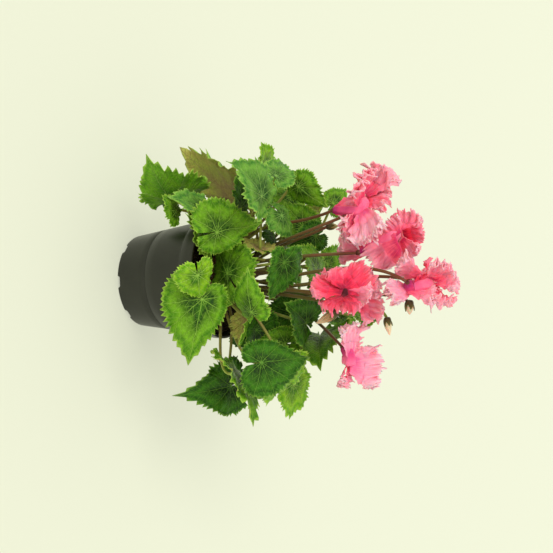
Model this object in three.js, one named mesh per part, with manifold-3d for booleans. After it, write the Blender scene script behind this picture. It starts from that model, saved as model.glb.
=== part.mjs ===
// A potted miniature cyclamen: a grey plastic pot of soil, a half-buried tuber carrying leaf
// stalks and flower stalks, heart-shaped toothed leaves, frilled pink flowers and their buds.
// Millimetres, +Z up. The origin is the centre of the pot's underside, +Y points to the back.
import * as THREE from 'three';
import { mergeVertices } from 'three/addons/utils/BufferGeometryUtils.js';
import Module from 'manifold-3d';

const wasm = await Module();
wasm.setup();

// Driving dimensions.
const potHeight = 70;
const rimRadius = 45;
const baseRadius = 34.5;
const potWall = 1.6;
const potFloor = 4;
const collarHeight = 12;
const collarStep = 1.2;
const shoulderHeight = 26;
const shoulderStep = 0.6;
const potSegments = 40;
const drainNotches = 8;
const notchWidth = 7;
const notchHeight = 2.4;
const notchDepth = 9;
const rimDraft = 0.6;
const soilTop = 63;
const soilDipRadius = 28;
const soilBankRadius = 36;
const soilBank = 1;
const soilHeapRadius = 20;
const soilHeap = 1.5;
const seat = 0.3;
const tuberRadius = 15;
const tuberHeight = 9;
const tuberCentre = 62.5;
const shaftClearance = 1;
const shaftHeight = 20;
const bladeThickness = 0.8;
const toothDepth = 0.06;
const toothPoints = 24;
const ringPoints = 10;
const ringPlace = 0.56;
const sinusAngle = 168;
const waveHeight = 0.035;
const waveCount = 5;
const petalThickness = 0.8;
const petalRuffle = 0.05;
const stalkFoot = 66;
const petioleRadius = 1;
const petioleSpread = 11;
const petioleSplay = 0.6;
const flowerStalkRadius = 1.2;
const flowerStalkSpread = 5;
const stalkSides = 5;
const petioleSteps = 4;
const stalkGap = 0.95;
const flowerStalkSteps = 6;

// Leaves. at is where the stalk meets the blade, head the compass angle of the tip from +X,
// pitch its rise, roll the turn about the midrib (degrees). len is stalk joint to tip, wide the
// half width as a share of len, droop the bend along the midrib, cup the bend across it, fold
// the lift of both halves, skew the unequal halves, back the tuck of the two basal lobes and
// tip the sharpness of the point. stem shapes the leaf stalk: turn of its start about the
// tuber, rise there, reach below the blade, then its lean along and across the blade.
const leaves = [
  { name: 'leaf_left_hanging', at: [-58, -20, 42], head: -100, pitch: 15, roll: -105,
    len: 51, wide: 0.5, droop: -45, cup: -25, fold: 0, skew: 0.15, back: 0.65,
    stem: [0, 48, 7, -0.4, -0.4] },
  { name: 'leaf_left_underside', at: [-57, 12, 76], head: -170, pitch: -45, roll: -60,
    len: 58, wide: 0.5, droop: 0, cup: 30, fold: 0, skew: 0.25, back: 0.4,
    stem: [0, 12, 7, 0.5, 0] },
  { name: 'leaf_left_narrow', at: [-45, -39, 80], head: -120, pitch: -15, roll: -30,
    len: 30, wide: 0.6, droop: 20, cup: 5, fold: 5, skew: 0, back: 0.4,
    stem: [-30, 34, 7, 0.3, -0.4] },
  { name: 'leaf_front_left', at: [-30, -55, 98], head: 100, pitch: 40, roll: -5,
    len: 38, wide: 0.52, droop: 20, cup: 30, fold: 0, skew: 0.2, back: 0.3, tip: 14,
    stem: [-60, 34, 13, -0.3, 0] },
  { name: 'leaf_front_left_low', at: [-26, -36, 77], head: -125, pitch: 10, roll: -15,
    len: 30, wide: 0.65, droop: 20, cup: 5, fold: 5, skew: 0, back: 0.4,
    stem: [0, 5, 7, 0.9, 0] },
  { name: 'leaf_rim_left', at: [-46, -54, 66], head: -125, pitch: 5, roll: -5,
    len: 18, wide: 0.6, droop: 20, cup: 15, fold: -5, skew: 0, back: 0.4,
    stem: [-60, 48, 40, 0, 0.4] },
  { name: 'leaf_front', at: [-2, -33, 92], head: 155, pitch: -35, roll: 115,
    len: 35, wide: 0.65, droop: 25, cup: 15, fold: -10, skew: 0, back: 0.25,
    stem: [0, 12, 13, -0.3, 0] },
  { name: 'leaf_front_cupped', at: [-2, -79, 96], head: 35, pitch: -15, roll: -40,
    len: 22, wide: 0.65, droop: 15, cup: 30, fold: -5, skew: -0.05, back: 0.35,
    stem: [0, 5, 14, -0.3, 0] },
  { name: 'leaf_front_right', at: [14, -63, 89], head: -10, pitch: -10, roll: -50,
    len: 44, wide: 0.5, droop: 20, cup: 20, fold: 0, skew: -0.2, back: 0.75,
    stem: [0, 12, 30, 0.3, 0.4] },
  { name: 'leaf_front_upright', at: [17, -52, 83], head: 95, pitch: 50, roll: 60,
    len: 21, wide: 0.6, droop: 15, cup: 15, fold: 0, skew: 0, back: 0.4,
    stem: [0, 12, 30, 0, 0] },
  { name: 'leaf_middle_front', at: [24, -54, 121], head: -145, pitch: 5, roll: 95,
    len: 30, wide: 0.5, droop: 40, cup: 40, fold: -10, skew: 0.25, back: 0.75,
    stem: [0, 34, 7, 0.3, 0] },
  { name: 'leaf_middle_right', at: [38, -13, 102], head: 20, pitch: -15, roll: -25,
    len: 24, wide: 0.65, droop: 45, cup: -10, fold: 15, skew: 0.1, back: 0.3,
    stem: [0, 12, 7, 0, 0] },
  { name: 'leaf_middle_curled', at: [28, -30, 104], head: -25, pitch: 20, roll: 40,
    len: 24, wide: 0.55, droop: 45, cup: 35, fold: -10, skew: 0.25, back: 0.8,
    stem: [0, 5, 7, 0.6, 0] },
  { name: 'leaf_right_large', at: [58, -44, 121], head: 95, pitch: 50, roll: 15,
    len: 36, wide: 0.55, droop: 25, cup: 20, fold: 0, skew: -0.2, back: 0.5, tip: 20,
    stem: [0, 12, 30, 0.5, 0] },
  { name: 'leaf_right_pointed', at: [67, -30, 92], head: -20, pitch: 45, roll: 5,
    len: 41, wide: 0.6, droop: 35, cup: 15, fold: 10, skew: 0.05, back: 0.4,
    stem: [0, 12, 20, 0.5, 0] },
  { name: 'leaf_right_hanging', at: [79, -6, 75], head: -85, pitch: -15, roll: 0,
    len: 44, wide: 0.5, droop: 45, cup: 20, fold: 10, skew: 0, back: 0.5, tip: 14,
    stem: [0, 22, 13, 0.3, 0.4] },
  { name: 'leaf_right_round', at: [81, 23, 112], head: 0, pitch: -5, roll: -15,
    len: 26, wide: 0.65, droop: 10, cup: -5, fold: 0, skew: 0, back: 0.2, tip: 40,
    stem: [0, 12, 7, 0.3, 0.4] },
  { name: 'leaf_right_inner', at: [66, -17, 125], head: 15, pitch: -30, roll: -20,
    len: 34, wide: 0.6, droop: 20, cup: 5, fold: 5, skew: 0, back: 0.4,
    stem: [-60, 48, 7, 0.3, -0.4] },
  { name: 'leaf_right_top', at: [47, 36, 129], head: -80, pitch: 20, roll: -95,
    len: 46, wide: 0.55, droop: 35, cup: 10, fold: 20, skew: -0.05, back: 0.4,
    stem: [0, 5, 40, -0.6, 0.4] },
  { name: 'leaf_inner_right', at: [35, 1, 134], head: -120, pitch: 5, roll: 15,
    len: 29, wide: 0.6, droop: 25, cup: 0, fold: 10, skew: 0, back: 0.4,
    stem: [0, 12, 7, 0, 0] },
  { name: 'leaf_centre', at: [-8, -34, 136], head: -5, pitch: -15, roll: -20,
    len: 28, wide: 0.6, droop: 30, cup: 30, fold: 10, skew: 0.25, back: 0.6,
    stem: [0, 12, 7, -0.3, 0] },
  { name: 'leaf_centre_top', at: [-3, 9, 140], head: -135, pitch: 0, roll: -5,
    len: 25, wide: 0.6, droop: 20, cup: 10, fold: 5, skew: 0, back: 0.4,
    stem: [120, 34, 25, -0.6, -0.4] },
  { name: 'leaf_left_top', at: [-61, 2, 133], head: 20, pitch: 40, roll: -95,
    len: 25, wide: 0.55, droop: 35, cup: 25, fold: -10, skew: -0.05, back: 0.4,
    stem: [0, 48, 40, 0.4, 0.4] },
  { name: 'leaf_left_inner', at: [-32, 35, 127], head: 130, pitch: -5, roll: -40,
    len: 34, wide: 0.6, droop: 40, cup: 5, fold: -5, skew: 0, back: 0.7,
    stem: [-30, 12, 7, 0.3, 0.4] },
  { name: 'leaf_left_side', at: [-68, -15, 124], head: 130, pitch: 0, roll: 45,
    len: 21, wide: 0.6, droop: 15, cup: 5, fold: 15, skew: -0.05, back: 0.45,
    stem: [0, 12, 7, 0.3, 0.4] },
  { name: 'leaf_left_far', at: [-80, 9, 104], head: -130, pitch: 25, roll: 20,
    len: 21, wide: 0.6, droop: 20, cup: 10, fold: 0, skew: 0, back: 0.4,
    stem: [-90, 48, 40, 0.3, -0.4] },
  { name: 'leaf_left_broad', at: [-52, -45, 127], head: -140, pitch: 0, roll: 0,
    len: 34, wide: 0.6, droop: 45, cup: 10, fold: 5, skew: -0.15, back: 0.45,
    stem: [-30, 34, 13, 0.3, 0.4] },
  { name: 'leaf_left_shaded', at: [-48, -25, 101], head: -155, pitch: 15, roll: 0,
    len: 26, wide: 0.6, droop: 15, cup: 10, fold: 5, skew: 0, back: 0.4,
    stem: [0, 12, 7, 0.3, 0.4] },
  { name: 'leaf_left_middle', at: [-41, -7, 123], head: 30, pitch: 25, roll: -5,
    len: 19, wide: 0.7, droop: 45, cup: 15, fold: -5, skew: -0.1, back: 0.2,
    stem: [0, 22, 13, 0, 0] },
  { name: 'leaf_inner_left', at: [-28, 15, 105], head: -95, pitch: 10, roll: -15,
    len: 18, wide: 0.6, droop: 35, cup: 15, fold: -5, skew: 0, back: 0.4,
    stem: [0, 12, 7, 0, 0] },
  { name: 'leaf_inner_small', at: [-18, -13, 108], head: 145, pitch: -60, roll: -135,
    len: 18, wide: 0.65, droop: 20, cup: 15, fold: -5, skew: 0, back: 0.4,
    stem: [-30, 48, 30, -0.3, 0] },
  { name: 'leaf_left_crown', at: [-51, 42, 142], head: 135, pitch: 25, roll: 30,
    len: 18, wide: 0.6, droop: 20, cup: 10, fold: 5, skew: -0.05, back: 0.4,
    stem: [-100, 48, 20, 0.3, 0.4] },
  { name: 'leaf_centre_crown', at: [-6, 49, 132], head: 150, pitch: 25, roll: 20,
    len: 19, wide: 0.6, droop: 20, cup: 10, fold: 5, skew: 0, back: 0.45,
    stem: [0, 12, 7, 0.3, -0.4] },
  { name: 'leaf_right_crown', at: [32, 34, 167], head: -70, pitch: 15, roll: -70,
    len: 18, wide: 0.6, droop: 25, cup: 5, fold: 10, skew: 0, back: 0.4,
    stem: [0, 12, 7, 0.3, 0.4] },
  { name: 'leaf_back_crown', at: [36, 56, 138], head: 50, pitch: 10, roll: -85,
    len: 18, wide: 0.6, droop: 20, cup: 10, fold: 5, skew: 0, back: 0.4,
    stem: [0, 48, 7, 0.3, -0.4] },
  { name: 'leaf_right_behind', at: [49, -5, 120], head: -80, pitch: -60, roll: -5,
    len: 24, wide: 0.6, droop: 10, cup: 30, fold: 5, skew: 0.1, back: 0.4,
    stem: [0, 34, 25, 0.4, 0.4] },
  { name: 'leaf_left_behind', at: [-57, 24, 117], head: -105, pitch: -60, roll: -5,
    len: 24, wide: 0.6, droop: 0, cup: 30, fold: 5, skew: -0.1, back: 0.4,
    stem: [-30, 48, 7, 0, -0.4] },
  { name: 'leaf_left_upper', at: [-34, 15, 129], head: -160, pitch: -30, roll: 60,
    len: 23, wide: 0.6, droop: 40, cup: 0, fold: 5, skew: 0, back: 0.4,
    stem: [0, 5, 40, 0, -0.4] },
  { name: 'leaf_centre_shaded', at: [-26, 15, 138], head: -55, pitch: -50, roll: -15,
    len: 20, wide: 0.6, droop: 30, cup: 20, fold: 5, skew: 0, back: 0.45,
    stem: [-60, 65, 25, 0, -0.4] },
  { name: 'leaf_centre_right', at: [29, 18, 114], head: -80, pitch: -60, roll: -5,
    len: 24, wide: 0.6, droop: 0, cup: 30, fold: 5, skew: 0, back: 0.4,
    stem: [0, 12, 7, 0, 0] },
  { name: 'leaf_right_shaded', at: [41, 7, 90], head: -55, pitch: -50, roll: -25,
    len: 22, wide: 0.6, droop: 40, cup: 20, fold: 5, skew: 0, back: 0.4,
    stem: [0, 12, 7, 0, 0] },
  { name: 'leaf_back_left', at: [-40, 45, 102], head: 130, pitch: -15, roll: 0,
    len: 36, wide: 0.62, droop: 25, cup: 10, fold: 0, skew: 0, back: 0.4,
    stem: [-60, 34, 7, 0.3, 0.4] },
  { name: 'leaf_back', at: [-8, 58, 96], head: 100, pitch: -25, roll: 0,
    len: 38, wide: 0.62, droop: 25, cup: 10, fold: 0, skew: 0, back: 0.4,
    stem: [0, 12, 7, 0.5, 0] },
  { name: 'leaf_back_middle', at: [20, 57, 104], head: 75, pitch: -25, roll: 0,
    len: 38, wide: 0.62, droop: 25, cup: 10, fold: 0, skew: 0, back: 0.4,
    stem: [0, 12, 7, 0.5, 0] },
  { name: 'leaf_back_right', at: [57, 44, 94], head: 40, pitch: -30, roll: 0,
    len: 34, wide: 0.62, droop: 25, cup: 10, fold: 0, skew: 0, back: 0.4,
    stem: [0, 12, 7, 0.5, 0] },
  { name: 'leaf_back_left_low', at: [-52, 28, 96], head: 155, pitch: -35, roll: 0,
    len: 32, wide: 0.62, droop: 25, cup: 10, fold: 0, skew: 0, back: 0.4,
    stem: [0, 12, 7, 0, 0] },
  { name: 'leaf_back_inner', at: [4, 21, 136], head: 85, pitch: 5, roll: 0,
    len: 30, wide: 0.62, droop: 25, cup: 10, fold: 0, skew: 0, back: 0.4,
    stem: [0, 48, 25, -0.6, 0.4] },
];

// Blooms. heart is a line of points, each with a radius, that the petals grow from; its last
// point is the small cup at the end of the flower stalk. A petal
// starts at its at, with head, pitch and roll as a leaf has, len and wide (half width as a share
// of len), curl along it and cup across it. Each bloom faces the viewer, with the last petals
// of its list closing the back.
const blooms = [
  { name: 'bloom_top', heart: [[10, 5, 226, 5], [13, -2, 212, 5], [9, -9, 213, 2]], petals: [
    { at: [10, 6, 228], head: 50, pitch: 75, roll: -160, len: 15, wide: 0.62, curl: 20, cup: 0 },
    { at: [8, 4, 226], head: -125, pitch: 40, roll: 85, len: 18, wide: 0.53, curl: 15, cup: 30 },
    { at: [13, 6, 225], head: -20, pitch: 30, roll: 150, len: 18, wide: 0.61, curl: 20, cup: 5 },
    { at: [14, -6, 212], head: 60, pitch: 65, roll: -150, len: 19, wide: 0.62, curl: 20, cup: 10 },
    { at: [13, -2, 215], head: 155, pitch: 55, roll: 15, len: 15, wide: 0.61, curl: 25, cup: 10 },
    { at: [6, -4, 221], head: -155, pitch: -55, roll: -70, len: 18, wide: 0.62, curl: 15, cup: 5 },
    { at: [14, -2, 212], head: -90, pitch: -25, roll: -30, len: 19, wide: 0.52, curl: 15, cup: 15 },
    { at: [11, 6, 223], head: 50, pitch: 5, roll: 170, len: 15, wide: 0.6, curl: -20, cup: 10 },
    { at: [9, 6, 223], head: 125, pitch: 0, roll: 190, len: 16, wide: 0.6, curl: -20, cup: 10 },
  ] },
  { name: 'bloom_upper_left', heart: [[-24, 7, 204, 4.5], [-15, 8, 184, 4.5], [-12, -4, 177, 2]], petals: [
    { at: [-26, 8, 205], head: 125, pitch: 15, roll: -95, len: 17, wide: 0.59, curl: 20, cup: 5 },
    { at: [-24, 8, 206], head: -35, pitch: 75, roll: -160, len: 15, wide: 0.55, curl: 20, cup: 10 },
    { at: [-20, 8, 205], head: -5, pitch: 30, roll: -120, len: 15, wide: 0.61, curl: 20, cup: 10 },
    { at: [-23, 4, 204], head: 140, pitch: -35, roll: -75, len: 15, wide: 0.53, curl: 20, cup: 10 },
    { at: [-18, 2, 204], head: 10, pitch: -70, roll: 80, len: 25, wide: 0.90, curl: -5, cup: 70 },
    { at: [-14, 12, 182], head: -80, pitch: -55, roll: 50, len: 24, wide: 0.61, curl: 15, cup: 5 },
    { at: [-20, 10, 202], head: 60, pitch: -10, roll: 170, len: 16, wide: 0.6, curl: -20, cup: 10 },
    { at: [-25, 9, 201], head: 120, pitch: -5, roll: 190, len: 15, wide: 0.6, curl: -20, cup: 10 },
  ] },
  { name: 'bloom_left',
    heart: [[-50, 5, 180, 4.5], [-39, -2, 181, 4.5], [-42, -2, 164, 3], [-42, -4, 160, 2]],
    petals: [
    { at: [-52, 6, 181], head: 155, pitch: 40, roll: -75, len: 24, wide: 0.62, curl: 20, cup: 10 },
    { at: [-48, 8, 179], head: -120, pitch: 70, roll: -175, len: 20, wide: 0.60, curl: 20, cup: 5 },
    { at: [-40, -4, 182], head: -40, pitch: 20, roll: -105, len: 26, wide: 0.55, curl: 15, cup: 30 },
    { at: [-46, 0, 180], head: -140, pitch: 10, roll: -170, len: 25, wide: 0.63, curl: 15, cup: 0 },
    { at: [-42, -2, 161], head: 120, pitch: 70, roll: 65, len: 20, wide: 0.62, curl: 20, cup: 5 },
    { at: [-38, 0, 176], head: -45, pitch: -20, roll: 15, len: 18, wide: 0.63, curl: 20, cup: 25 },
    { at: [-44, 6, 178], head: 75, pitch: 0, roll: 175, len: 18, wide: 0.6, curl: -20, cup: 10 },
    { at: [-38, 2, 177], head: 40, pitch: -10, roll: 170, len: 16, wide: 0.6, curl: -20, cup: 10 },
  ] },
  { name: 'bloom_front', heart: [[12, -32, 179, 5.5], [14, -31, 175, 5.5]], petals: [
    { at: [12, -32, 178], head: 115, pitch: 20, roll: -145, len: 25, wide: 0.53, curl: 15, cup: 35 },
    { at: [14, -28, 177], head: 75, pitch: 45, roll: 110, len: 17, wide: 0.62, curl: 20, cup: 10 },
    { at: [16, -32, 179], head: 55, pitch: 0, roll: 85, len: 15, wide: 0.50, curl: 20, cup: 40 },
    { at: [11, -34, 178], head: 165, pitch: -35, roll: -155, len: 15, wide: 0.64, curl: 20, cup: 25 },
    { at: [13, -36, 178], head: -140, pitch: -65, roll: -5, len: 20, wide: 0.62, curl: 20, cup: 5 },
    { at: [16, -32, 177], head: 50, pitch: -60, roll: 115, len: 17, wide: 0.61, curl: 20, cup: 10 },
    { at: [13, -28, 176], head: 110, pitch: -20, roll: 180, len: 12, wide: 0.6, curl: -20, cup: 10 },
  ] },
  { name: 'bloom_small', heart: [[22, -2, 176, 4], [20, -2, 175, 4]], petals: [
    { at: [22, -3, 175], head: -15, pitch: 80, roll: -140, len: 19, wide: 0.61, curl: 20, cup: 5 },
    { at: [19, -1, 175], head: 165, pitch: 50, roll: 135, len: 19, wide: 0.62, curl: 15, cup: 10 },
    { at: [21, 0, 175], head: 75, pitch: 55, roll: 180, len: 15, wide: 0.6, curl: -20, cup: 10 },
    { at: [23, -1, 175], head: 30, pitch: 45, roll: 170, len: 15, wide: 0.6, curl: -20, cup: 10 },
  ] },
  { name: 'bloom_right', heart: [[64, -4, 167, 4.5], [56, -7, 169, 4.5], [51, -8, 164.5, 2]], petals: [
    { at: [64, -4, 168], head: 80, pitch: 25, roll: -180, len: 29, wide: 0.58, curl: 15, cup: 35 },
    { at: [58, -8, 170], head: -180, pitch: 5, roll: 5, len: 23, wide: 0.62, curl: 15, cup: 0 },
    { at: [60, -3, 166], head: 95, pitch: 30, roll: 10, len: 16, wide: 0.46, curl: 20, cup: 10 },
    { at: [62, -2, 166], head: 40, pitch: 0, roll: 180, len: 18, wide: 0.6, curl: -20, cup: 10 },
    { at: [58, -4, 168], head: 130, pitch: 10, roll: 180, len: 16, wide: 0.6, curl: -20, cup: 10 },
    { at: [64, -5, 166], head: -30, pitch: -20, roll: 30, len: 16, wide: 0.55, curl: -20, cup: 15 },
  ] },
];

// Flower stalks and bud stalks. Each points to the place to and ends short of it by the distance
// clear. from is the compass angle of its start on the tuber, rise and out the way it leaves,
// reach and lean the way it arrives.
const flowerStalks = [
  { to: [9, -9, 213], clear: 2.3, from: 315, rise: 45, out: 0.3, reach: 45, lean: [0.7, 0] },
  { to: [9, 5, 214], clear: 5, from: 315, rise: 70, out: 0.3, reach: 45, lean: [0.3, 0] },
  { to: [-12, -4, 177], clear: 2.3, from: 225, rise: 45, out: 0.3, reach: 25, lean: [0, 0.4] },
  { to: [-42, -4, 160], clear: 2.3, from: 210, rise: 30, out: 1.5, reach: 60, lean: [-0.2, -0.7] },
  { to: [-39, -2, 172], clear: 7, from: 135, rise: 10, out: 1.5, reach: 25, lean: [-0.4, 0.4] },
  { to: [14, -31, 175], clear: 5.8, from: 315, rise: 20, out: 0.3, reach: 12, lean: [0, -0.3] },
  { to: [20, -2, 175], clear: 4.3, from: 270, rise: 45, out: 0.3, reach: 12, lean: [-0.3, 0] },
  { to: [51, -8, 164.5], clear: 2.3, from: 67, rise: 45, out: 1, reach: 45, lean: [0.5, -1] },
  { to: [23, 16, 205.6], clear: 0.9, from: 315, rise: 45, out: 0.6, reach: 25, lean: [0.7, -0.4] },
  { to: [34, 18, 188.4], clear: 0.8, from: 315, rise: 70, out: 0.3, reach: 25, lean: [2.1, 0] },
  { to: [26.6, -18.6, 166.6], clear: 2, from: 315, rise: 70, out: 0.3, reach: 12, lean: [1.9, 0] },
  { to: [-32, 8.6, 150.6], clear: 0.8, from: 180, rise: 20, out: 0.3, reach: 12, lean: [-0.4, 0] },
];

// Buds: base point, direction of the point, length and greatest radius.
const buds = [
  { name: 'bud_top', at: [23, 16, 205.6], head: -20, pitch: 5, len: 9, radius: 3.2 },
  { name: 'bud_right', at: [34, 18, 188.4], head: -10, pitch: 10, len: 12, radius: 2.8 },
  { name: 'bloom_withered', at: [26.6, -18.6, 166.6], head: -20, pitch: -55, len: 17, radius: 3 },
  { name: 'bud_low', at: [-32, 8.6, 150.6], head: 90, pitch: 60, len: 8, radius: 2.4 },
];

const radians = THREE.MathUtils.degToRad;

/** Keeps a geometry's positions only, with equal corners shared. */
function solidGeometry(geometry) {
  geometry.deleteAttribute('normal');
  geometry.deleteAttribute('uv');
  return mergeVertices(geometry, 1e-4);
}

/** A closed geometry as a manifold solid. */
function toSolid(geometry) {
  const merged = solidGeometry(geometry.clone());
  return new wasm.Manifold(new wasm.Mesh({
    numProp: 3,
    vertProperties: new Float32Array(merged.attributes.position.array),
    triVerts: new Uint32Array(merged.index.array),
  }));
}

/** A manifold solid as a geometry. */
function toGeometry(solid) {
  const mesh = solid.getMesh();
  const geometry = new THREE.BufferGeometry();
  geometry.setAttribute('position', new THREE.BufferAttribute(mesh.vertProperties, 3));
  geometry.setIndex(new THREE.BufferAttribute(mesh.triVerts, 1));
  geometry.computeVertexNormals();
  return geometry;
}

/** Joins solids one after another. */
function joined(solids) {
  return solids.reduce((sum, solid) => sum.add(solid));
}

/** A geometry from rows of points and triangles. */
function meshGeometry(points, triangles) {
  const geometry = new THREE.BufferGeometry();
  geometry.setAttribute('position', new THREE.Float32BufferAttribute(points.flat(), 3));
  geometry.setIndex(triangles);
  geometry.computeVertexNormals();
  return geometry;
}

/** The turn that points +X along head and pitch, then rolls about it. */
function turned({ head, pitch, roll = 0 }) {
  return new THREE.Euler(-radians(roll), -radians(pitch), radians(head), 'ZYX');
}

/** The matrix of a piece placed by at, head, pitch and roll. */
function placed(piece) {
  const turn = new THREE.Quaternion().setFromEuler(turned(piece));
  return new THREE.Matrix4().compose(
    new THREE.Vector3(...piece.at), turn, new THREE.Vector3(1, 1, 1));
}

/** Bends the flat distance x into an arc of the whole angle bend over the length len. */
function arc(x, z, bend, len) {
  const k = radians(bend) / len;
  if (Math.abs(k) < 1e-6) return [x, z];
  return [Math.sin(k * x) / k + z * Math.sin(k * x),
    z * Math.cos(k * x) - (1 - Math.cos(k * x)) / k];
}

/**
 * A point of a leaf blade, rho from the stalk joint (0) to the edge (1) at the angle a from the
 * tip. The outline is a heart: full length at the tip, wide at the sides, tucked at the back.
 */
function bladePoint(leaf, rho, a, cut = 0) {
  const { len, wide, droop, cup, fold, skew, back, tip = 24 } = leaf;
  const away = Math.abs(a);
  const tuck = THREE.MathUtils.clamp((away - 110) / 65, 0, 2);
  let radius = wide + (1 - wide) * Math.exp(-away / tip);
  radius *= (1 - back * tuck * tuck) * (1 + skew * Math.sin(radians(a))) * (1 - cut);
  const flatX = rho * radius * Math.cos(radians(a)) * len;
  const flatY = rho * radius * Math.sin(radians(a)) * len;
  const phase = leaf.at[0] + leaf.at[2];
  const wave = waveHeight * len * rho * rho * Math.sin(radians(a) * waveCount + phase);
  const lift = wave + radians(fold) * Math.abs(flatY);
  const [y, drop] = arc(flatY, 0, cup, 0.62 * len);
  const [x, z] = arc(flatX, lift + drop, droop, len);
  return new THREE.Vector3(x, y, z);
}

/** The unit normal of the blade's upper face at rho and a. */
function bladeNormal(leaf, rho, a) {
  const step = 0.02;
  const out = bladePoint(leaf, rho + step, a).sub(bladePoint(leaf, rho - step, a));
  const around = bladePoint(leaf, rho, a + 1).sub(bladePoint(leaf, rho, a - 1));
  return out.cross(around).normalize();
}

/** A toothed leaf blade as a closed solid: joint, inner ring and toothed edge on two faces. */
function bladeGeometry(leaf) {
  const sheet = [{ rho: 0, a: 0, cut: 0 }];
  for (let i = 0; i < ringPoints; i += 1) {
    const a = sinusAngle * (2 * i / (ringPoints - 1) - 1);
    sheet.push({ rho: ringPlace, a, cut: 0 });
  }
  for (let i = 0; i <= toothPoints; i += 1) {
    const a = sinusAngle * (2 * i / toothPoints - 1);
    sheet.push({ rho: 1, a, cut: i % 2 === 0 ? 0 : toothDepth });
  }
  const upper = [];
  const lower = [];
  for (const { rho, a, cut } of sheet) {
    const point = bladePoint(leaf, rho, a, cut);
    const normal = rho === 0 ? new THREE.Vector3(0, 0, 1) : bladeNormal(leaf, rho, a);
    upper.push(point.clone().addScaledVector(normal, bladeThickness / 2).toArray());
    lower.push(point.clone().addScaledVector(normal, -bladeThickness / 2).toArray());
  }
  const faces = [];
  const ring = 1;
  const edge = 1 + ringPoints;
  for (let i = 0; i < ringPoints - 1; i += 1) faces.push([0, ring + i, ring + i + 1]);
  let inner = 0;
  for (let i = 0; i < toothPoints; i += 1) {
    faces.push([ring + inner, edge + i, edge + i + 1]);
    const next = (i + 1) / toothPoints * (ringPoints - 1);
    if (inner < ringPoints - 1 && next >= inner + 0.5) {
      faces.push([ring + inner, edge + i + 1, ring + inner + 1]);
      inner += 1;
    }
  }
  const rim = [0, ring];
  for (let i = 0; i <= toothPoints; i += 1) rim.push(edge + i);
  rim.push(ring + ringPoints - 1);
  const count = sheet.length;
  const triangles = [];
  for (const [p, q, r] of faces) {
    triangles.push(p, q, r);
    triangles.push(count + p, count + r, count + q);
  }
  rim.forEach((p, i) => {
    const q = rim[(i + 1) % rim.length];
    triangles.push(p, count + p, q);
    triangles.push(q, count + p, count + q);
  });
  return meshGeometry([...upper, ...lower], triangles);
}

/** A point of a petal, u from its root (0) to its frilled end (1), v from side to side (-1, 1). */
function petalPoint(petal, u, v) {
  const { len, wide, curl, cup } = petal;
  const flatX = len * u * (1 - 0.16 * v * v * u);
  const spread = 0.2 + 0.8 * Math.sin(Math.PI / 2 * Math.min(u / 0.85, 1));
  const flatY = len * wide * v * spread;
  const ruffle = petalRuffle * len * u * u * Math.sin(7 * v + petal.at[0] + petal.at[2]);
  const [y, drop] = arc(flatY, 0, -cup, 0.6 * len);
  const [x, z] = arc(flatX, ruffle + drop, curl, len);
  return new THREE.Vector3(x, y, z);
}

/** A petal as a closed solid in its bloom's place. */
function petalSolid(petal) {
  const box = new THREE.BoxGeometry(1, 2, petalThickness, 3, 3, 1);
  const position = box.attributes.position;
  const matrix = placed(petal);
  const step = 0.01;
  for (let i = 0; i < position.count; i += 1) {
    const u = position.getX(i) + 0.5;
    const v = position.getY(i);
    const along = petalPoint(petal, u + step, v).sub(petalPoint(petal, u - step, v));
    const across = petalPoint(petal, u, v + step).sub(petalPoint(petal, u, v - step));
    const normal = along.cross(across).normalize();
    const point = petalPoint(petal, u, v).addScaledVector(normal, position.getZ(i));
    position.setXYZ(i, ...point.applyMatrix4(matrix).toArray());
  }
  return toSolid(box);
}

/** Balls along the line that carries a bloom's petals, with a tube from each to the next. */
function heartSolid(heart) {
  const solids = heart.map(([x, y, z, radius]) => {
    const ball = new THREE.IcosahedronGeometry(radius, 1);
    ball.translate(x, y, z);
    return toSolid(ball);
  });
  for (let i = 0; i < heart.length - 1; i += 1) {
    const radius = 0.85 * Math.min(heart[i][3], heart[i + 1][3]);
    const line = new THREE.LineCurve3(
      new THREE.Vector3(...heart[i]), new THREE.Vector3(...heart[i + 1]));
    solids.push(tubeSolid(line, radius, 6, 1));
  }
  return joined(solids);
}

/** A closed tube of the given radius along a curve. */
function tubeSolid(curve, radius, sides, steps) {
  const corners = [];
  for (let i = 0; i < sides; i += 1) {
    const a = 2 * Math.PI * i / sides;
    corners.push(new THREE.Vector2(radius * Math.cos(a), radius * Math.sin(a)));
  }
  return toSolid(new THREE.ExtrudeGeometry(
    new THREE.Shape(corners), { extrudePath: curve, steps, bevelEnabled: false }));
}

/** The curved axis of a leaf stalk, from the tuber's shoulder to just under its blade. */
function petioleCurve(leaf) {
  const [turn, rise, reach, lean, side] = leaf.stem;
  const basis = new THREE.Matrix4().makeRotationFromEuler(turned(leaf));
  const below = new THREE.Vector3(lean, side, 1).normalize().applyMatrix4(basis);
  const normal = new THREE.Vector3(0, 0, 1).applyMatrix4(basis);
  const end = new THREE.Vector3(...leaf.at).addScaledVector(normal, -bladeThickness / 2 - stalkGap);
  const from = Math.atan2(leaf.at[1], leaf.at[0]) + radians(turn);
  const outward = new THREE.Vector3(Math.cos(from), Math.sin(from), 0);
  const start = outward.clone().multiplyScalar(petioleSpread).setZ(stalkFoot);
  const leave = outward.multiplyScalar(petioleSplay).setZ(1);
  return new THREE.CubicBezierCurve3(start,
    start.clone().addScaledVector(leave, rise), end.clone().addScaledVector(below, -reach), end);
}

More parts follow.
